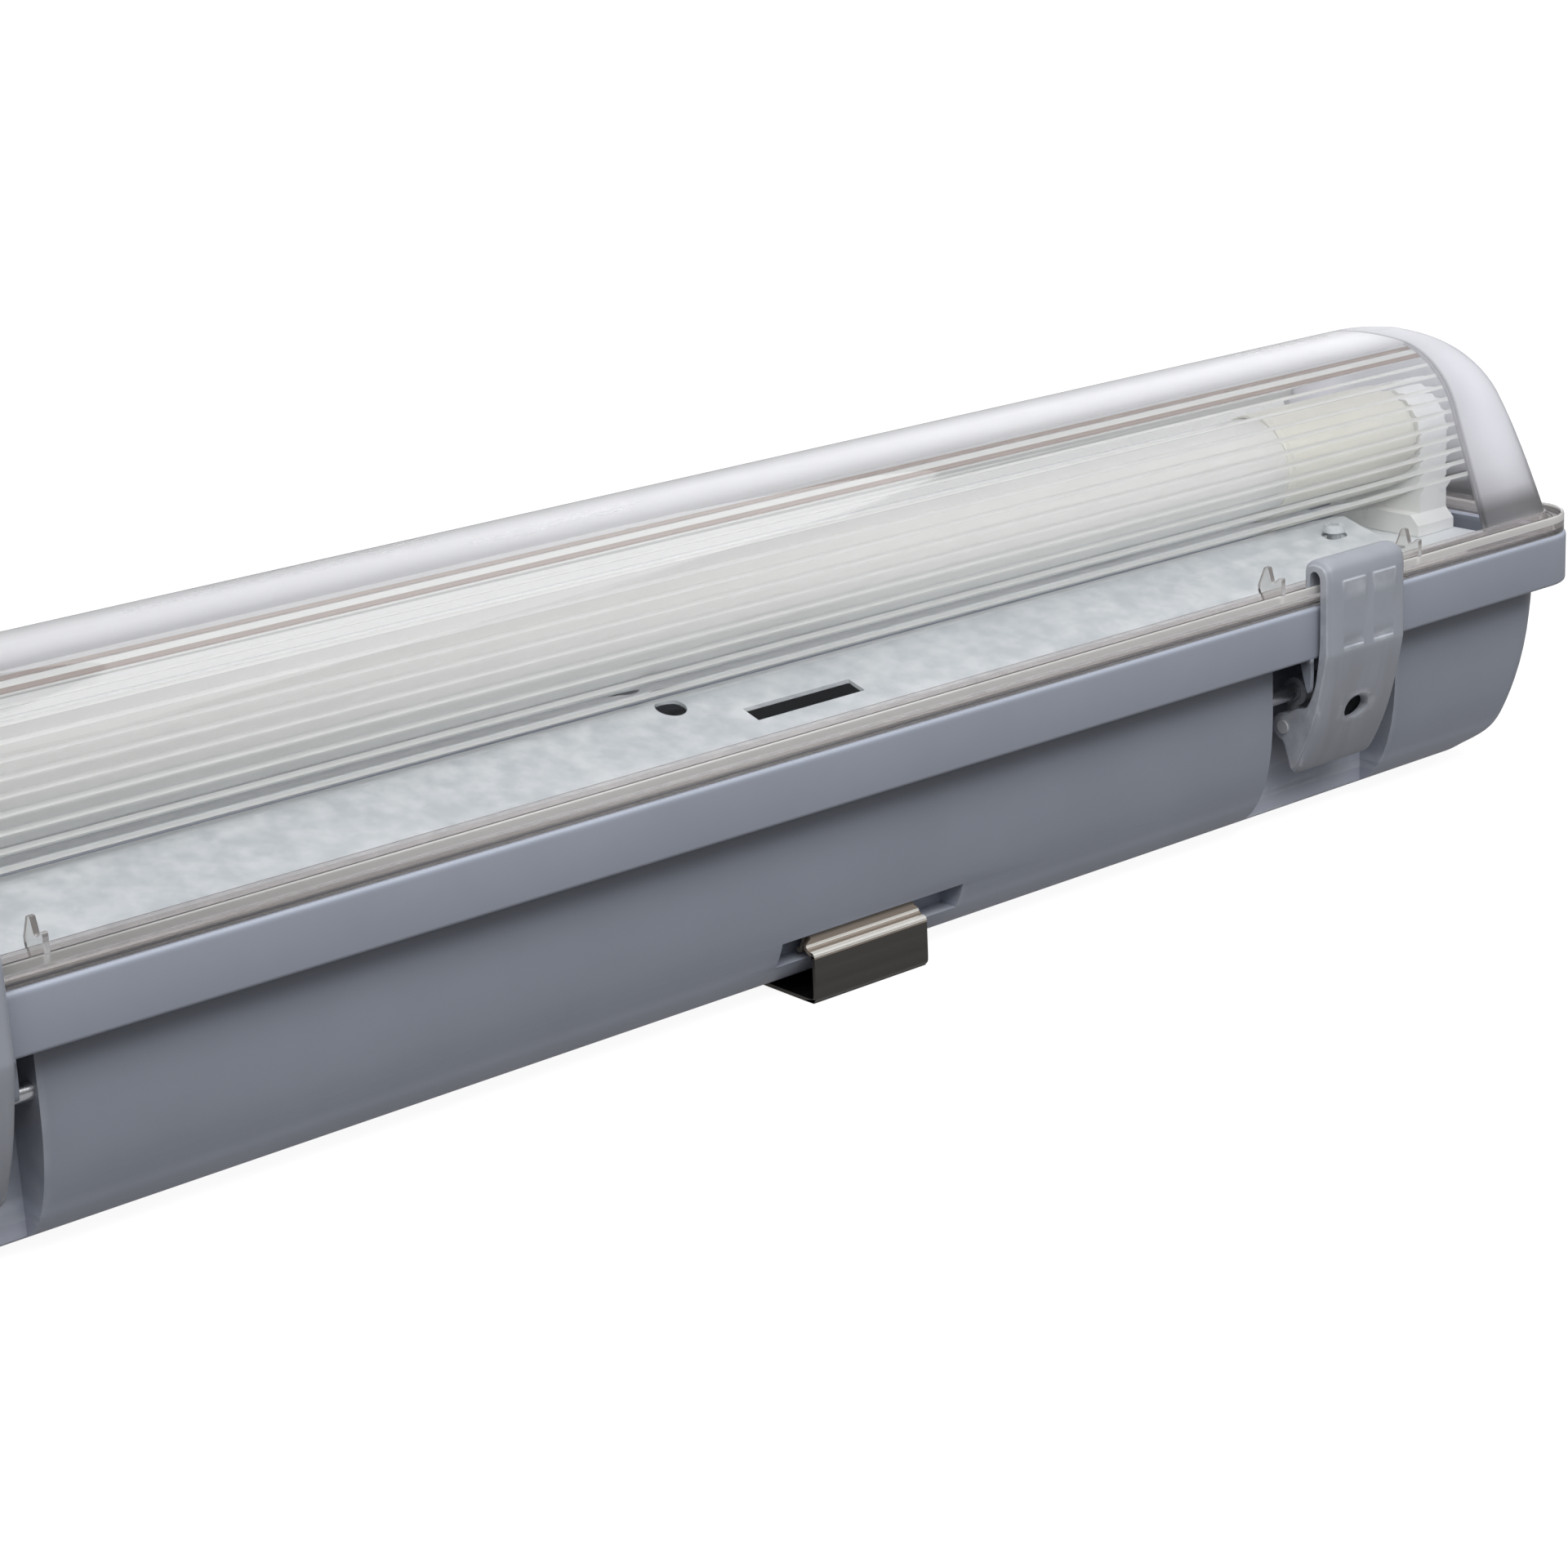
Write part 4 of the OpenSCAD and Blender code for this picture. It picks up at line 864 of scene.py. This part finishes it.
# ------------------------------------------------------------------ latch levers
def smooth_line(pts, per=4):
    """Catmull-Rom through the points"""
    res = []
    n = len(pts)
    for i in range(n - 1):
        p0, p1, p2, p3 = pts[max(i - 1, 0)], pts[i], pts[i + 1], pts[min(i + 2, n - 1)]
        for k in range(per):
            t = k / per
            res.append(tuple(0.5 * ((2 * b) + (c - a) * t + (2 * a - 5 * b + 4 * c - d) * t * t + (3 * b - a - 3 * c + d) * t ** 3) for a, b, c, d in zip(p0, p1, p2, p3)))
    res.append(pts[-1])
    return res


def extruded(poly, x0, x1, r=0.0):
    k = len(poly)
    v = [(x0, y, z) for y, z in poly] + [(x1, y, z) for y, z in poly]
    f = [tuple(range(k)), tuple(range(k, 2 * k))[::-1]] + [(c, (c + 1) % k, k + (c + 1) % k, k + c) for c in range(k)]
    return v, f


def temp(name, v, f, bevel=0, angle=40, segments=2):
    me = bpy.data.meshes.new(name)
    me.from_pydata([tuple(c * MM for c in p) for p in v], [], f)
    bm = bmesh.new()
    bm.from_mesh(me)
    bmesh.ops.remove_doubles(bm, verts=bm.verts, dist=1e-6)
    bmesh.ops.recalc_face_normals(bm, faces=bm.faces)
    bm.to_mesh(me)
    bm.free()
    o = bpy.data.objects.new(name, me)
    scene.collection.objects.link(o)
    if bevel:
        b = o.modifiers.new("bevel", "BEVEL")
        b.width, b.segments, b.limit_method, b.angle_limit = bevel * MM, segments, "ANGLE", math.radians(angle)
    return o


def lever_mesh():
    """One lever in its own frame: x across, y = distance outwards from the fixture's middle plane, z up."""
    outer = [(41.0, 59.9), (40.8, 62), (40.9, 65), (41.9, 66.7), (44, 67.5), (46.7, 67.2), (48.5, 65.8), (49.15, 63.6)]
    low = [(49.15, 45.3), (48.7, 43.0), (47.55, 38), (46.2, 32.7), (44.5, 27.5), (42.5, 22.8), (40.5, 18.9), (39.1, 16.6), (38.1, 15.6), (37.3, 15.4)]
    face = [(49.2, z) for z in (62.9, 62.55, 60, 57, 54, 51.5, 50.0, 49.1, 47.9, 46.95, 46.65, 46.2, 45.8)]
    outer = smooth_line(outer, 4) + face + smooth_line(low, 4)
    inner = smooth_line([(36.6, 17.3), (38.1, 18.6), (39.6, 21.0), (41.3, 24.8), (42.8, 29.0), (44.1, 34.2), (45.0, 39.5), (45.75, 44.7), (46.15, 49.5), (46.2, 62), (45.8, 64.2), (44.7, 65), (43.6, 64.6), (43.1, 63.4), (43, 59.9)], 3)

    def pushed(pts, amount):
        res = []
        for i, (y, z) in enumerate(pts):
            a, b = pts[max(i - 1, 0)], pts[min(i + 1, len(pts) - 1)]
            dy, dz = b[0] - a[0], b[1] - a[1]
            l = math.hypot(dy, dz)
            ny, nz = dz / l, -dy / l        # points to the inside of the outline
            am = amount[i] if isinstance(amount, list) else amount
            res.append((y - ny * am, z - nz * am) if True else (y, z))
        return res

    # which way is outwards on the face: +y, and the pads stand out by 0.3
    W = 13.2
    xs = [-W, -W + 0.12, -W + 0.45, -W + 1.0, -W + 1.8, -9.6, -9.15, -8.7, -8.6, -8.2, -5, -2.1, -1.7, -1.6, -1.2, -0.8, 0]
    xs = xs + [-x for x in xs[::-1][1:]]
    rows = []
    for x in xs:
        d = W - abs(x)
        edge = 1.8 - math.sqrt(max(0.0, 1.8 ** 2 - (1.8 - min(d, 1.8)) ** 2)) if d < 1.8 else 0.0
        pad = min(1.0, max(0.0, (abs(x) - 0.8) / 0.8)) * min(1.0, max(0.0, (9.6 - abs(x)) / 0.9))
        dip = min(1.0, max(0.0, (abs(x) - 1.7) / 0.4)) * min(1.0, max(0.0, (8.6 - abs(x)) / 0.4))
        amount = []
        for y, z in outer:
            a = -min(edge, 1.25)
            if y > 49.17:
                if 51.0 <= z <= 62.6:
                    a += 0.42 * pad * max(0.0, (z - 51.5) / 11.0)
                if 46.9 <= z <= 50.0:
                    a -= dip * 0.5 * (50.0 - z) / 3.05
            amount.append(a)
        pts = []
        for i, (y, z) in enumerate(outer):
            a, b = outer[max(i - 1, 0)], outer[min(i + 1, len(outer) - 1)]
            dy, dz = b[0] - a[0], b[1] - a[1]
            l = math.hypot(dy, dz)
            ny, nz = -dz / l, dy / l        # outward normal of the outer line, which runs from the nose over the top and down
            pts.append((y + ny * amount[i], z + nz * amount[i]))
        rows.append(pts + inner)
    n = len(rows[0])
    v = [(x, y, z) for x, row in zip(xs, rows) for y, z in row]
    f = []
    for j in range(len(xs) - 1):
        for c in range(n):
            d = (c + 1) % n
            f.append((j * n + c, (j + 1) * n + c, (j + 1) * n + d, j * n + d))
    f.append(tuple(range(n)))
    f.append(tuple((len(xs) - 1) * n + c for c in range(n))[::-1])
    plate = temp("lever_plate", v, f)

    # side cheeks with the ear for the pin
    ear = [(34.7 + 3.4 * math.cos(a), 26.3 + 3.4 * math.sin(a)) for a in np.linspace(math.radians(95), math.radians(262), 14)]
    up_edge = smooth_line([(46.5, 44.8), (45.6, 42.6), (44.9, 39.8), (43.9, 36.6), (42.7, 33.8), (41.6, 32.2), (40.3, 31.6), (38.8, 31.3), (37.2, 30.6), (36.0, 29.9)], 3)
    cheek = up_edge + ear + smooth_line([(34.9, 21.8), (35.8, 19.2), (36.5, 17.0), (37.2, 16.1), (38.3, 16.5), (39.6, 18.6), (41.6, 22.8), (43.6, 27.6), (45.2, 32.6), (46.4, 38), (47.2, 43.5)], 3)
    for x0, x1 in ((-W + 0.15, -W + 2.3), (W - 2.3, W - 0.15)):
        c = temp("lever_cheek", *extruded(cheek, x0, x1), bevel=0.25)
        add = plate.modifiers.new("u", "BOOLEAN")
        add.operation, add.solver, add.object = "UNION", "EXACT", c
    # hole through the handle, with its rims eased, and the bores for the pin
    t = [(-14.0, 4.6), (-1.6, 3.3), (-0.9, 2.85), (0, 2.7), (30, 2.7)]
    v, f = [], []
    n = 40
    axis_y = lambda a: 46.4 - a
    prof = [(-12.0, 0.0), (-12.0, 3.4), (0.0, 3.4), (0.35, 2.9), (0.8, 2.7), (12.0, 2.7), (12.0, 0.0)]
    for a, r in prof:
        for k in range(n):
            q = 2 * math.pi * k / n
            v.append((1.5 * r * math.cos(q), 46.3 - a, 30.3 + r * math.sin(q)))
    for i in range(len(prof) - 1):
        for k in range(n):
            f.append((i * n + k, i * n + (k + 1) % n, (i + 1) * n + (k + 1) % n, (i + 1) * n + k))
    cut = temp("lever_hole", v, f)
    m = plate.modifiers.new("h", "BOOLEAN")
    m.operation, m.solver, m.object = "DIFFERENCE", "EXACT", cut
    pin = temp("lever_bore", *turned([(-20, 0.0), (-20, 1.62), (20, 1.62), (20, 0.0)], "x", (0, 34.7, 26.3), 32))
    m = plate.modifiers.new("b", "BOOLEAN")
    m.operation, m.solver, m.object = "DIFFERENCE", "EXACT", pin
    bpy.context.view_layer.update()
    res = evaluated(plate)
    for o in [plate, cut, pin] + [x for x in list(scene.objects) if x.name.startswith("lever_cheek")]:
        bpy.data.objects.remove(o)
    return res


lever = lever_mesh()
for row, sgn in (("front", -1), ("back", 1)):
    for i, x in enumerate(LX, 1):
        me = lever.copy()
        co = np.empty(len(me.vertices) * 3, np.float32)
        me.vertices.foreach_get("co", co)
        co = co.reshape(-1, 3)
        co[:, 1] *= sgn
        co[:, 0] *= -sgn                   # turned half round for the other row, not mirrored
        co[:, 0] += x * MM
        me.vertices.foreach_set("co", co.ravel())
        me.materials.clear()
        me.materials.append(latch_mat.m)
        if sgn < 0:
            pass
        me.polygons.foreach_set("use_smooth", [True] * len(me.polygons))
        bm = bmesh.new()
        bm.from_mesh(me)
        bmesh.ops.recalc_face_normals(bm, faces=bm.faces)
        bm.to_mesh(me)
        bm.free()
        me.set_sharp_from_angle(angle=math.radians(33))
        name = f"latch_lever_{row}_{i}"
        o = bpy.data.objects.new(name + "_moulding", me)
        scene.collection.objects.link(o)
        b = o.modifiers.new("bevel", "BEVEL")
        b.width, b.segments, b.limit_method, b.angle_limit, b.harden_normals = 0.18 * MM, 2, "ANGLE", math.radians(50), True
        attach(o, f"lever_{row}_{i}")
        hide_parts(name)


# ------------------------------------------------------------------ mounting clips
def build_clip(side, cx):
    T = 0.82
    # middle line of the spring arm, u outwards and v upwards
    line = [(0.0, 0.45), (20.0, 0.45), (35.6, 0.45), (36.8, 0.58), (37.4, 1.05), (37.62, 1.9), (37.65, 5.0), (37.65, 10.1), (37.6, 10.62), (37.42, 10.86), (37.1, 10.98), (36.7, 11.02), (36.2, 11.1),
            (35.75, 11.35), (35.35, 11.75), (35.12, 12.2), (35.04, 12.8), (35.0, 13.6), (34.88, 14.0), (34.55, 14.33), (34.1, 14.4), (33.65, 14.1), (33.25, 13.4), (32.85, 12.4), (32.4, 11.3), (32.0, 10.45),
            (31.6, 10.15), (31.2, 10.3), (30.9, 10.7)]
    mid = smooth_line(line, 5)
    up_side, dn = [], []
    for i, (u, w) in enumerate(mid):
        a, b = mid[max(i - 1, 0)], mid[min(i + 1, len(mid) - 1)]
        du, dw = b[0] - a[0], b[1] - a[1]
        l = math.hypot(du, dw)
        nu, nw = -dw / l, du / l
        up_side.append((u + nu * T / 2, w + nw * T / 2))
        dn.append((u - nu * T / 2, w - nw * T / 2))
    # how much each point of the section draws in at the two ends: the tongue has rounded corners
    start = next(i for i, q in enumerate(mid) if q[0] < 36 and q[1] > 12.25 and i > 40)
    draw = [0.0 if i <= start else 1.3 * min(1.0, (i - start) / 9.0) ** 1.8 for i in range(len(mid))]
    # a fine bead where the shelf turns up into the shoulder
    bead = [i for i, q in enumerate(mid) if 34.9 < q[0] < 35.3 and 12.0 < q[1] < 12.5]
    for i in bead:
        up_side[i] = (up_side[i][0] + 0.13, up_side[i][1] + 0.05)
    # whole section from one tip to the other: underside, then back along the upper side
    under = [(-u, w) for u, w in dn[::-1]][:-1] + dn
    over = [(-u, w) for u, w in up_side[::-1]][:-1] + up_side
    ring = under + over[::-1]
    pull = draw[::-1][:-1] + draw
    pull = pull + pull[::-1]
    n = len(ring)
    W = 15.8
    xs = [-W] + list(np.linspace(-W + 0.4, W - 0.4, 40)) + [W]
    v = []
    for x0 in xs:
        for (y, z), d0 in zip(ring, pull):
            x = x0 * (W - d0) / W
            if z < 1.2:
                for py in (-17.0, 17.0):
                    d = math.hypot(x, y - py)
                    if d < 6.2:
                        k = 1.0 if d < 3.2 else (6.2 - d) / 3.0
                        z = z + 1.25 * k * k * (3 - 2 * k)
            v.append((cx + x, y, z))
    f = []
    for j in range(len(xs) - 1):
        for c in range(n):
            d = (c + 1) % n
            f.append((j * n + c, (j + 1) * n + c, (j + 1) * n + d, j * n + d))
    f.append(tuple(range(n)))
    f.append(tuple((len(xs) - 1) * n + c for c in range(n))[::-1])
    plate = temp("clip_plate", v, f)
    cut = temp("clip_hole", *turned([(-2, 0.0), (-2, 2.6), (4, 2.6), (4, 0.0)], "z", (cx, 0, 0), 48))
    m = plate.modifiers.new("h", "BOOLEAN")
    m.operation, m.solver, m.object = "DIFFERENCE", "EXACT", cut
    bpy.context.view_layer.update()
    me = evaluated(plate)
    bpy.data.objects.remove(plate)
    bpy.data.objects.remove(cut)
    me.materials.clear()
    for m in (steel_mat, clip_bend_highlight_mat, clip_lit_band_mat):
        me.materials.append(m.m)
    # the bends and the fine bead take the pale copy (painted highlight), the face and the foot the dark copy (painted
    # shade), the shelf and band the tan copy (painted lit tone)
    for q in me.polygons:
        y, z = abs(q.center.y) / MM, q.center.z / MM
        bend = (z > 10.45 and y > 36.75) or (12.0 < z < 12.6 and y > 35.0)
        q.material_index = 0 if z < 10.3 and y > 33 or z < 3 else 1 if bend else 2
    me.polygons.foreach_set("use_smooth", [True] * len(me.polygons))
    me.set_sharp_from_angle(angle=math.radians(38))
    o = bpy.data.objects.new("mount_clip_" + side + "_spring", me)
    scene.collection.objects.link(o)
    b = o.modifiers.new("bevel", "BEVEL")
    b.width, b.segments, b.limit_method, b.angle_limit, b.harden_normals = 0.12 * MM, 2, "ANGLE", math.radians(50), True
    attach(o, "root")
    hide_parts("mount_clip_" + side)


build_clip("left", -CLX)
build_clip("right", CLX)

for n in ("lampholder_left", "lampholder_right"):
    soften(n, 0.5)
for n in ("lampholder_bracket_left", "lampholder_bracket_right", "gear_tray"):
    soften(n, 0.18)
for n in ("tray_screws", "terminal_block"):
    soften(n, 0.2)
for n in nodes:
    if "latch_link" in n or "latch_pin" in n or n == "latch_axles":
        soften(n, 0.25)

# ------------------------------------------------------------------ floor and light
S = 60.0
fm = bpy.data.meshes.new("floor")
fm.from_pydata([(-S, -S, 0), (S, -S, 0), (S, S, 0), (-S, S, 0)], [], [(0, 1, 2, 3)])
floor = bpy.data.objects.new("floor", fm)
scene.collection.objects.link(floor)
floor.location.z = -0.0002
fmat = bpy.data.materials.new("floor_pale")
fmat.use_nodes = True
t = fmat.node_tree
t.nodes.clear()
out = t.nodes.new("ShaderNodeOutputMaterial")
dif = t.nodes.new("ShaderNodeBsdfDiffuse")
dif.inputs["Color"].default_value = (0.20, 0.20, 0.205, 1)
em = t.nodes.new("ShaderNodeEmission")
em.inputs["Color"].default_value = (1, 1, 1, 1)
path = t.nodes.new("ShaderNodeLightPath")
mx = t.nodes.new("ShaderNodeMath")
mx.operation = "MAXIMUM"
t.links.new(path.outputs["Is Camera Ray"], mx.inputs[0])
fg = t.nodes.new("ShaderNodeNewGeometry")
fs = t.nodes.new("ShaderNodeSeparateXYZ")
t.links.new(fg.outputs["Position"], fs.inputs[0])
fa = t.nodes.new("ShaderNodeMath")
fa.operation = "ABSOLUTE"
t.links.new(fs.outputs["Y"], fa.inputs[0])
# seen through clear plastic, the floor's glow drops to about a third within 6 cm of the fixture's middle line: painted
# shade
fr = t.nodes.new("ShaderNodeMapRange")
fr.inputs["From Min"].default_value = 0.06
fr.inputs["From Max"].default_value = 0.16
fr.inputs["To Min"].default_value = 0.35
fr.inputs["To Max"].default_value = 1.0
t.links.new(fa.outputs[0], fr.inputs["Value"])
ft = t.nodes.new("ShaderNodeMath")
ft.operation = "MULTIPLY"
t.links.new(path.outputs["Is Transmission Ray"], ft.inputs[0])
t.links.new(fr.outputs["Result"], ft.inputs[1])
t.links.new(ft.outputs[0], mx.inputs[1])
gl = t.nodes.new("ShaderNodeMath")
gl.operation = "MULTIPLY"
gl.inputs[1].default_value = 0.22
t.links.new(path.outputs["Is Glossy Ray"], gl.inputs[0])
mg = t.nodes.new("ShaderNodeMath")
mg.operation = "MAXIMUM"
t.links.new(mx.outputs[0], mg.inputs[0])
t.links.new(gl.outputs[0], mg.inputs[1])
df = t.nodes.new("ShaderNodeMath")
df.operation = "MULTIPLY"
df.inputs[1].default_value = 0.06
t.links.new(path.outputs["Is Diffuse Ray"], df.inputs[0])
mh = t.nodes.new("ShaderNodeMath")
mh.operation = "MAXIMUM"
t.links.new(mg.outputs[0], mh.inputs[0])
t.links.new(df.outputs[0], mh.inputs[1])
mu = t.nodes.new("ShaderNodeMath")
mu.operation = "MULTIPLY"
mu.inputs[1].default_value = 0.93
t.links.new(mh.outputs[0], mu.inputs[0])
t.links.new(mu.outputs[0], em.inputs["Strength"])
ad = t.nodes.new("ShaderNodeAddShader")
t.links.new(dif.outputs[0], ad.inputs[0])
t.links.new(em.outputs[0], ad.inputs[1])
geo = t.nodes.new("ShaderNodeNewGeometry")
tr = t.nodes.new("ShaderNodeBsdfTransparent")
ms = t.nodes.new("ShaderNodeMixShader")
t.links.new(geo.outputs["Backfacing"], ms.inputs[0])
t.links.new(ad.outputs[0], ms.inputs[1])
t.links.new(tr.outputs[0], ms.inputs[2])
t.links.new(ms.outputs[0], out.inputs["Surface"])
fm.materials.append(fmat)

world = bpy.data.worlds.new("studio")
scene.world = world
world.use_nodes = True
w = world.node_tree
bg = next(n for n in w.nodes if n.type == "BACKGROUND")
wp = w.nodes.new("ShaderNodeLightPath")
wm = w.nodes.new("ShaderNodeMath")
wm.operation = "MAXIMUM"
w.links.new(wp.outputs["Is Camera Ray"], wm.inputs[0])
w.links.new(wp.outputs["Is Transmission Ray"], wm.inputs[1])
tc = w.nodes.new("ShaderNodeTexCoord")
sx = w.nodes.new("ShaderNodeSeparateXYZ")
w.links.new(tc.outputs["Generated"], sx.inputs[0])
rmp = w.nodes.new("ShaderNodeMapRange")
rmp.inputs["From Min"].default_value = 0.0
rmp.inputs["From Max"].default_value = 0.9
rmp.inputs["To Min"].default_value = 0.03
rmp.inputs["To Max"].default_value = 0.6
w.links.new(sx.outputs["Z"], rmp.inputs["Value"])
wx = w.nodes.new("ShaderNodeMix")
wx.data_type = "FLOAT"
w.links.new(wm.outputs[0], wx.inputs["Factor"])
w.links.new(rmp.outputs["Result"], wx.inputs[2])
# seen directly it is white; seen through clear plastic it is white along one line of sight and dimmer aside
wd = w.nodes.new("ShaderNodeVectorMath")
wd.operation = "DOT_PRODUCT"
wd.inputs[1].default_value = (0.627, 0.767, -0.14)
w.links.new(tc.outputs["Generated"], wd.inputs[0])
wa = w.nodes.new("ShaderNodeMath")
wa.operation = "ABSOLUTE"
w.links.new(wd.outputs["Value"], wa.inputs[0])
wr = w.nodes.new("ShaderNodeMapRange")
wr.inputs["From Min"].default_value = 0.45
wr.inputs["From Max"].default_value = 0.88
wr.inputs["To Min"].default_value = 0.3
wr.inputs["To Max"].default_value = 1.0
w.links.new(wa.outputs[0], wr.inputs["Value"])
wc = w.nodes.new("ShaderNodeMath")
wc.operation = "MAXIMUM"
w.links.new(wp.outputs["Is Camera Ray"], wc.inputs[0])
w.links.new(wr.outputs["Result"], wc.inputs[1])
w.links.new(wc.outputs[0], wx.inputs[3])
w.links.new(wx.outputs[0], bg.inputs["Strength"])
bg.inputs["Color"].default_value = (0.97, 0.985, 1.0, 1)


def area(name, loc, target, sx, sy, power, colour=(1, 1, 1)):
    d = bpy.data.lights.new(name, "AREA")
    d.shape = "RECTANGLE"
    d.size, d.size_y = sx, sy
    d.energy = power
    d.color = colour
    o = bpy.data.objects.new(name, d)
    scene.collection.objects.link(o)
    o.location = loc
    o.rotation_euler = (Vector(target) - Vector(loc)).to_track_quat("-Z", "Y").to_euler()
    return o


area("softbox_top", (1.5, -0.15, 1.9), (0.3, 0.0, 0.0), 3.8, 0.7, 13)
area("softbox_front", (-0.32, -1.28, 1.8), (0.28, 0.0, 0.05), 2.4, 1.2, 40)
area("backdrop", (1.2, 2.6, 0.95), (0.3, 0.0, 0.1), 5.0, 1.3, 18)
